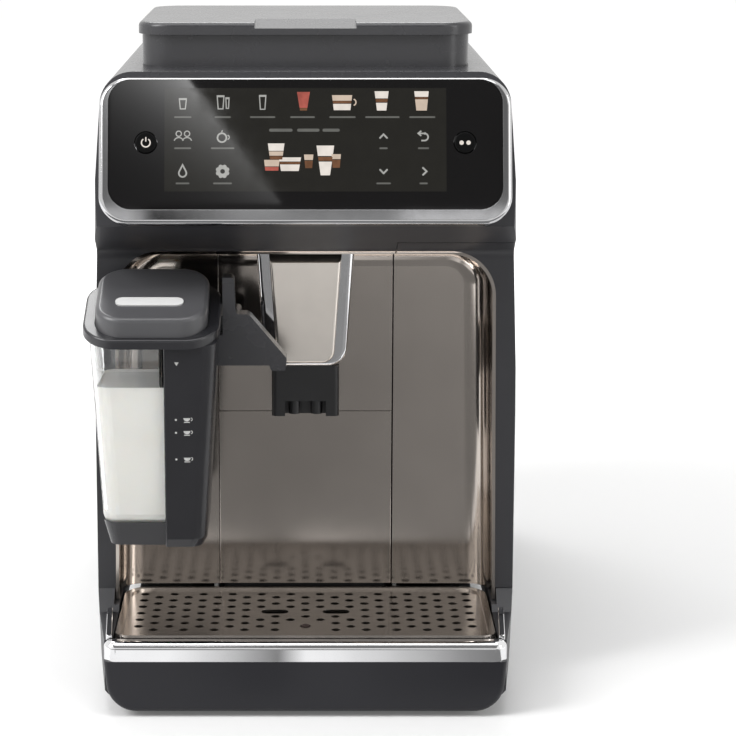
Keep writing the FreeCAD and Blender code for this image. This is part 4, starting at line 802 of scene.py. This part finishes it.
def card(name, place, shine):
    """A grid of faces. Both place and shine are asked with shares across and up, from 0 to 1."""
    shares = [i / CARD_STEPS for i in range(CARD_STEPS + 1)]
    spots = [(s, t) for t in shares for s in shares]
    row = CARD_STEPS + 1
    faces = []
    for i in range(CARD_STEPS):
        for j in range(CARD_STEPS):
            first = i * row + j
            faces.append((first, first + 1, first + row + 1, first + row))
    mesh = bpy.data.meshes.new(name)
    mesh.from_pydata([place(s, t) for s, t in spots], [], faces)
    light = mesh.attributes.new("shine", "FLOAT", "POINT")
    for value, (s, t) in zip(light.data, spots):
        value.value = shine(s, t)
    mesh.materials.append(card_light(name + "_light"))
    piece = bpy.data.objects.new(name, mesh)
    scene.collection.objects.link(piece)
    piece.visible_camera = False
    piece.visible_diffuse = False
    piece.visible_transmission = False
    piece.visible_shadow = False


def between(low, high, share):
    return low + (high - low) * share


def share_of(value, start, stop):
    """How far value has come from start to stop, from 0 to 1."""
    return min(1.0, max(0.0, (value - start) / (stop - start)))


SHINE_LEFT = -108.5
SHINE_LOW = -34.0
SHINE_HIGH = 36.5
SHINE_LEAN = -0.744
SHINE_EDGE = -38.4
SHINE_BASE = 0.2
SHINE_PEAK = 7.2
SHINE_FALL = 38.0
SHINE_FADE = 26.0


def shine_edge(v):
    """Where the slanted right edge of the shine is, at a height on the glass."""
    return SHINE_EDGE + SHINE_LEAN * v


def shine_place(s, t):
    v = between(SHINE_LOW, SHINE_HIGH, t)
    return seen_in_glass(between(SHINE_LEFT, shine_edge(v), s), v)


def shine_light(s, t):
    """Brightest in the upper right corner, along the slanted edge."""
    v = between(SHINE_LOW, SHINE_HIGH, t)
    inward = (1 - s) * (shine_edge(v) - SHINE_LEFT)
    return SHINE_BASE + SHINE_PEAK * math.exp((v - SHINE_HIGH) / SHINE_FALL - inward / SHINE_FADE)


card("slanted_card", shine_place, shine_light)

# %% Grade the chrome and the cup bay
CHROME_HALF = 114.0
CHROME_LOW = -48.0
CHROME_HIGH = -36.8
CHROME_WHITE_LEFT, CHROME_WHITE_RIGHT = 0.12, 0.71
CHROME_LIGHT_LEFT, CHROME_LIGHT_RIGHT = 0.9, 0.95
CHROME_BLACK_TO = 0.15
CHROME_RISE = 2.2
CHROME_GREY = 0.42
LOW_CARD_HEIGHT = 0.002
MAT_HALF = 0.8
MAT_FRONT, MAT_BACK = -2.2, -0.37
MAT_LEFT, MAT_RIGHT = 0.26, 0.35
MAT_TURN_FROM, MAT_TURN_TO = 0.5, 0.6
EDGE_HALF = 0.2
EDGE_BACK = -0.25
EDGE_WHITE, EDGE_GREY = 1.1, 0.25
EDGE_JUMP = 0.47
EDGE_LEFT_FADE = (0.30, 0.46)
EDGE_RIGHT_FADE = (0.52, 0.77)


def chrome_place(s, t):
    u = between(-CHROME_HALF, CHROME_HALF, s)
    return seen_in_glass(u, between(CHROME_LOW, CHROME_HIGH, t))


def chrome_light(s, t):
    """White at the left corner, then black, rising to grey, and white again on the right."""
    if s < CHROME_WHITE_LEFT:
        return CHROME_LIGHT_LEFT
    if s > CHROME_WHITE_RIGHT:
        return CHROME_LIGHT_RIGHT
    return min(CHROME_GREY, max(0.0, CHROME_RISE * (s - CHROME_BLACK_TO)))


def bay_mat_place(s, t):
    return (between(-MAT_HALF, MAT_HALF, s), between(MAT_FRONT, MAT_BACK, t), LOW_CARD_HEIGHT)


def bay_mat_light(s, t):
    """One grey on the left and a lighter one on the right."""
    return between(MAT_LEFT, MAT_RIGHT, share_of(s, MAT_TURN_FROM, MAT_TURN_TO))


def edge_place(s, t):
    return (between(-EDGE_HALF, EDGE_HALF, s), between(MAT_BACK, EDGE_BACK, t), LOW_CARD_HEIGHT)


def edge_light(s, t):
    """White that fades to grey towards the middle, and once more towards the right end."""
    fade = EDGE_LEFT_FADE if s < EDGE_JUMP else EDGE_RIGHT_FADE
    return between(EDGE_WHITE, EDGE_GREY, share_of(s, *fade))


card("chrome_card", chrome_place, chrome_light)
card("bay_mat", bay_mat_place, bay_mat_light)
card("edge_card", edge_place, edge_light)

# %% [markdown]
# ## Marks on the two round buttons
# The left button carries the usual sign for power, a broken ring with a stroke, and the right
# one two dots. Each mark rides on its button, so that it goes in when the button is
# pressed.

# %% Mark the buttons
MARK_STROKE = 0.7
MARK_THICK = 0.03
DOT = 2.5
DOT_APART = 1.9
power_mark = ribbon(arc(0, 0, 2.4, 125, 415, 20), MARK_STROKE)
power_mark += ribbon([(0, 0.6), (0, 3.1)], MARK_STROKE)
start_mark = [bar(-DOT_APART, 0, DOT, DOT), bar(DOT_APART, 0, DOT, DOT)]
for name, mark in (("power_button", power_mark), ("start_button", start_mark)):
    side = flat_side(name, display_side[3], middle_of(name))
    piece = lay(name + "_mark", side, mark, milk_white, thick=MARK_THICK)
    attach(piece, name)
print("buttons marked")

# %% [markdown]
# ## Milk in the jug
# The jug is clear, so its filling is what the eye sees. Milk is nearly white, scatters light
# below its surface, and climbs a little where it wets the wall. It is built as rounded rings
# that follow the leaning walls from the floor of the jug to its level. They go a little way into
# the plastic, most of all beside the column, because a gap of air there would show as a dark
# mirror, while wet plastic looks as white as the milk.

# %% Fill the jug
JUG_WALL = 1.8
JUG_BOTTOM = 3.0
JUG_LEAN = 6.0 / 104.0
JUG_CORNER = 8.2
JUG_HEEL = 6.0
RIM_SLOPE = 21.1
COLUMN_CORNER = 0.5
WETTING = 0.1
MILK_LEVEL = 190.0
CORNER_STEPS = 6
HEEL_TURNS = (0, 30, 60, 90)
# How far the milk stands above its level, and how far from the wall.
meniscus = ((1.2, 0.0), (0.4, 0.6), (0.0, 2.0))
milk = finish("milk", (0.97, 0.96, 0.91), 0.22, drift=0.03, drift_size=30.0, gloss_drift=0.05)
milk_surface = milk.node_tree.nodes["Principled BSDF"]
milk_surface.inputs["Subsurface Weight"].default_value = 0.25
milk_surface.inputs["Subsurface Radius"].default_value = (0.006, 0.005, 0.004)
milk_surface.inputs["Subsurface Scale"].default_value = 0.5


def rounded_ring(low_x, high_x, low_y, high_y, left, right, z):
    """A rectangle at one height, with one round for its left corners and one for its right ones."""
    turns = [(high_x - right, high_y - right, right, 0), (low_x + left, high_y - left, left, 90)]
    turns += [(low_x + left, low_y + left, left, 180), (high_x - right, low_y + right, right, 270)]
    ring = []
    for x, y, corner, start in turns:
        ring += [(u, v, z) for u, v in arc(x, y, corner, start, start + 90, CORNER_STEPS)]
    return ring


def skin_rings(name, rings):
    """A closed mesh through rings of equal length, capped at both ends."""
    work = bmesh.new()
    loops = [[work.verts.new(Vector(p) * MM) for p in ring] for ring in rings]
    for below, above in zip(loops, loops[1:]):
        for i in range(len(below)):
            j = (i + 1) % len(below)
            work.faces.new((below[i], below[j], above[j], above[i]))
    work.faces.new(list(reversed(loops[0])))
    work.faces.new(loops[-1])
    mesh = bpy.data.meshes.new(name)
    work.to_mesh(mesh)
    work.free()
    piece = bpy.data.objects.new(name, mesh)
    scene.collection.objects.link(piece)
    return piece


jug_low, jug_high = (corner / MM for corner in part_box("carafe_jug"))
inset = JUG_WALL - WETTING
milk_floor = jug_low.z + JUG_BOTTOM / 2


def milk_ring(z, shrink):
    """The inside of the jug at one height. All its walls lean except the right one."""
    lean = JUG_LEAN * (jug_high.z - z)
    edge = inset + shrink
    return rounded_ring(
        jug_low.x + lean + edge,
        jug_high.x - WETTING,
        jug_low.y + lean - JUG_LEAN * RIM_SLOPE + edge,
        jug_high.y - lean - edge,
        JUG_CORNER - shrink,
        COLUMN_CORNER,
        z,
    )


milk_rings = []
for turn in HEEL_TURNS:
    heel = math.radians(turn)
    rise = JUG_HEEL * (1 - math.cos(heel))
    milk_rings.append(milk_ring(milk_floor + rise, JUG_HEEL * (1 - math.sin(heel))))
milk_rings += [milk_ring(MILK_LEVEL + rise, away) for rise, away in meniscus]
milk_fill = skin_rings("milk_fill", milk_rings)
dress(milk_fill, milk)
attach(milk_fill, "milk_carafe")
print("milk stands to", MILK_LEVEL, "mm")

# %% [markdown]
# ## Level marks on the carafe column
# The dark column beside the jug carries three small cups with a dot beside each, and a
# small pointer under the lid. They are printed in pale ink, so they are thin patches on its
# front.

# %% Print the level marks
ink = finish("pale_ink", (0.52, 0.52, 0.51), 0.5, drift=0.08, drift_size=2.0,
             grain=0.1, grain_size=0.3)
MARK_X = -65.8
DOT_X = -71.9
POINTER_X = -71.2
POINTER_Z = 205.5
mark_heights = (173.4, 166.0, 150.6)
TOP_MARK = mark_heights[0]
INK_LIFT = 0.03
column_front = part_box("carafe_frame")[0].y / MM
column_middle = Vector((MARK_X, column_front, TOP_MARK)) * MM
column_side = flat_side("carafe_frame", (0.0, -1.0, 0.0), column_middle)


def level_mark(v):
    """A small cup with its handle and saucer, and a dot on its left."""
    bowl = arc(0.0, v + 1.0, 1.9, 180, 360, 10)
    handle = ribbon(arc(2.1, v + 0.3, 0.9, -80, 80, 6), 0.4)
    dot = arc(DOT_X - MARK_X, v, 0.6, 0, 330, 11)
    return [bowl] + handle + [bar(0.0, v - 1.4, 3.4, 0.5), dot]


marks = []
for height in mark_heights:
    marks += level_mark(height - TOP_MARK)
marks.append(arc(POINTER_X - MARK_X, POINTER_Z - TOP_MARK, 1.4, -90, 150, 2))
level_marks = lay("carafe_level_marks", column_side, marks, ink, INK_LIFT, INK_LIFT)
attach(level_marks, "milk_carafe")
print("level marks:", len(mark_heights))

# %% [markdown]
# ## Screws on the back
# A machine like this is closed from behind with a pan-head screw in each corner of its rear
# panel. The screw head is a stack of rings: a low dome, with a six-lobed recess sunk in its
# middle. A boolean cut could sink the recess too, but rings keep the mesh clean and closed.

# %% Make the back details
HEAD_RADIUS = 3.3
RECESS = 1.2
LOBES = 6
LOBE_DEPTH = 0.25
AROUND = 36
SCREW_MARGIN = 9.0
# Each ring of a screw head: its radius, how far out it stands, and the depth of its lobes.
head_profile = (
    (HEAD_RADIUS, 0.02, 0.0), (HEAD_RADIUS, 0.5, 0.0),
    (0.85 * HEAD_RADIUS, 1.0, 0.0), (0.55 * HEAD_RADIUS, 1.25, 0.0),
    (RECESS, 1.3, LOBE_DEPTH), (RECESS, 0.3, LOBE_DEPTH),
)
panel_low, panel_high = (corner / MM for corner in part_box("rear_panel"))
back = panel_high.y


def screw_ring(x, z, radius, out, lobe):
    """A ring of points round a screw, waved by the lobes of its recess."""
    ring = []
    for i in range(AROUND):
        turn = 2 * math.pi * i / AROUND
        reach = radius + lobe * math.cos(LOBES * turn)
        ring.append((x - reach * math.cos(turn), back + out, z + reach * math.sin(turn)))
    return ring


def screw(name, x, z):
    rings = [screw_ring(x, z, radius, out, lobe) for radius, out, lobe in head_profile]
    piece = skin_rings(name, rings)
    dress(piece, turned_steel)
    return piece


sides = (panel_low.x + SCREW_MARGIN, panel_high.x - SCREW_MARGIN)
heights = (panel_low.z + SCREW_MARGIN, panel_high.z - SCREW_MARGIN)
screw_spots = [(x, z) for x in sides for z in heights]
for count, (x, z) in enumerate(screw_spots, start=1):
    piece = screw("rear_screw_%d" % count, x, z)
    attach(piece, "machine")
print("rear screws:", len(screw_spots))
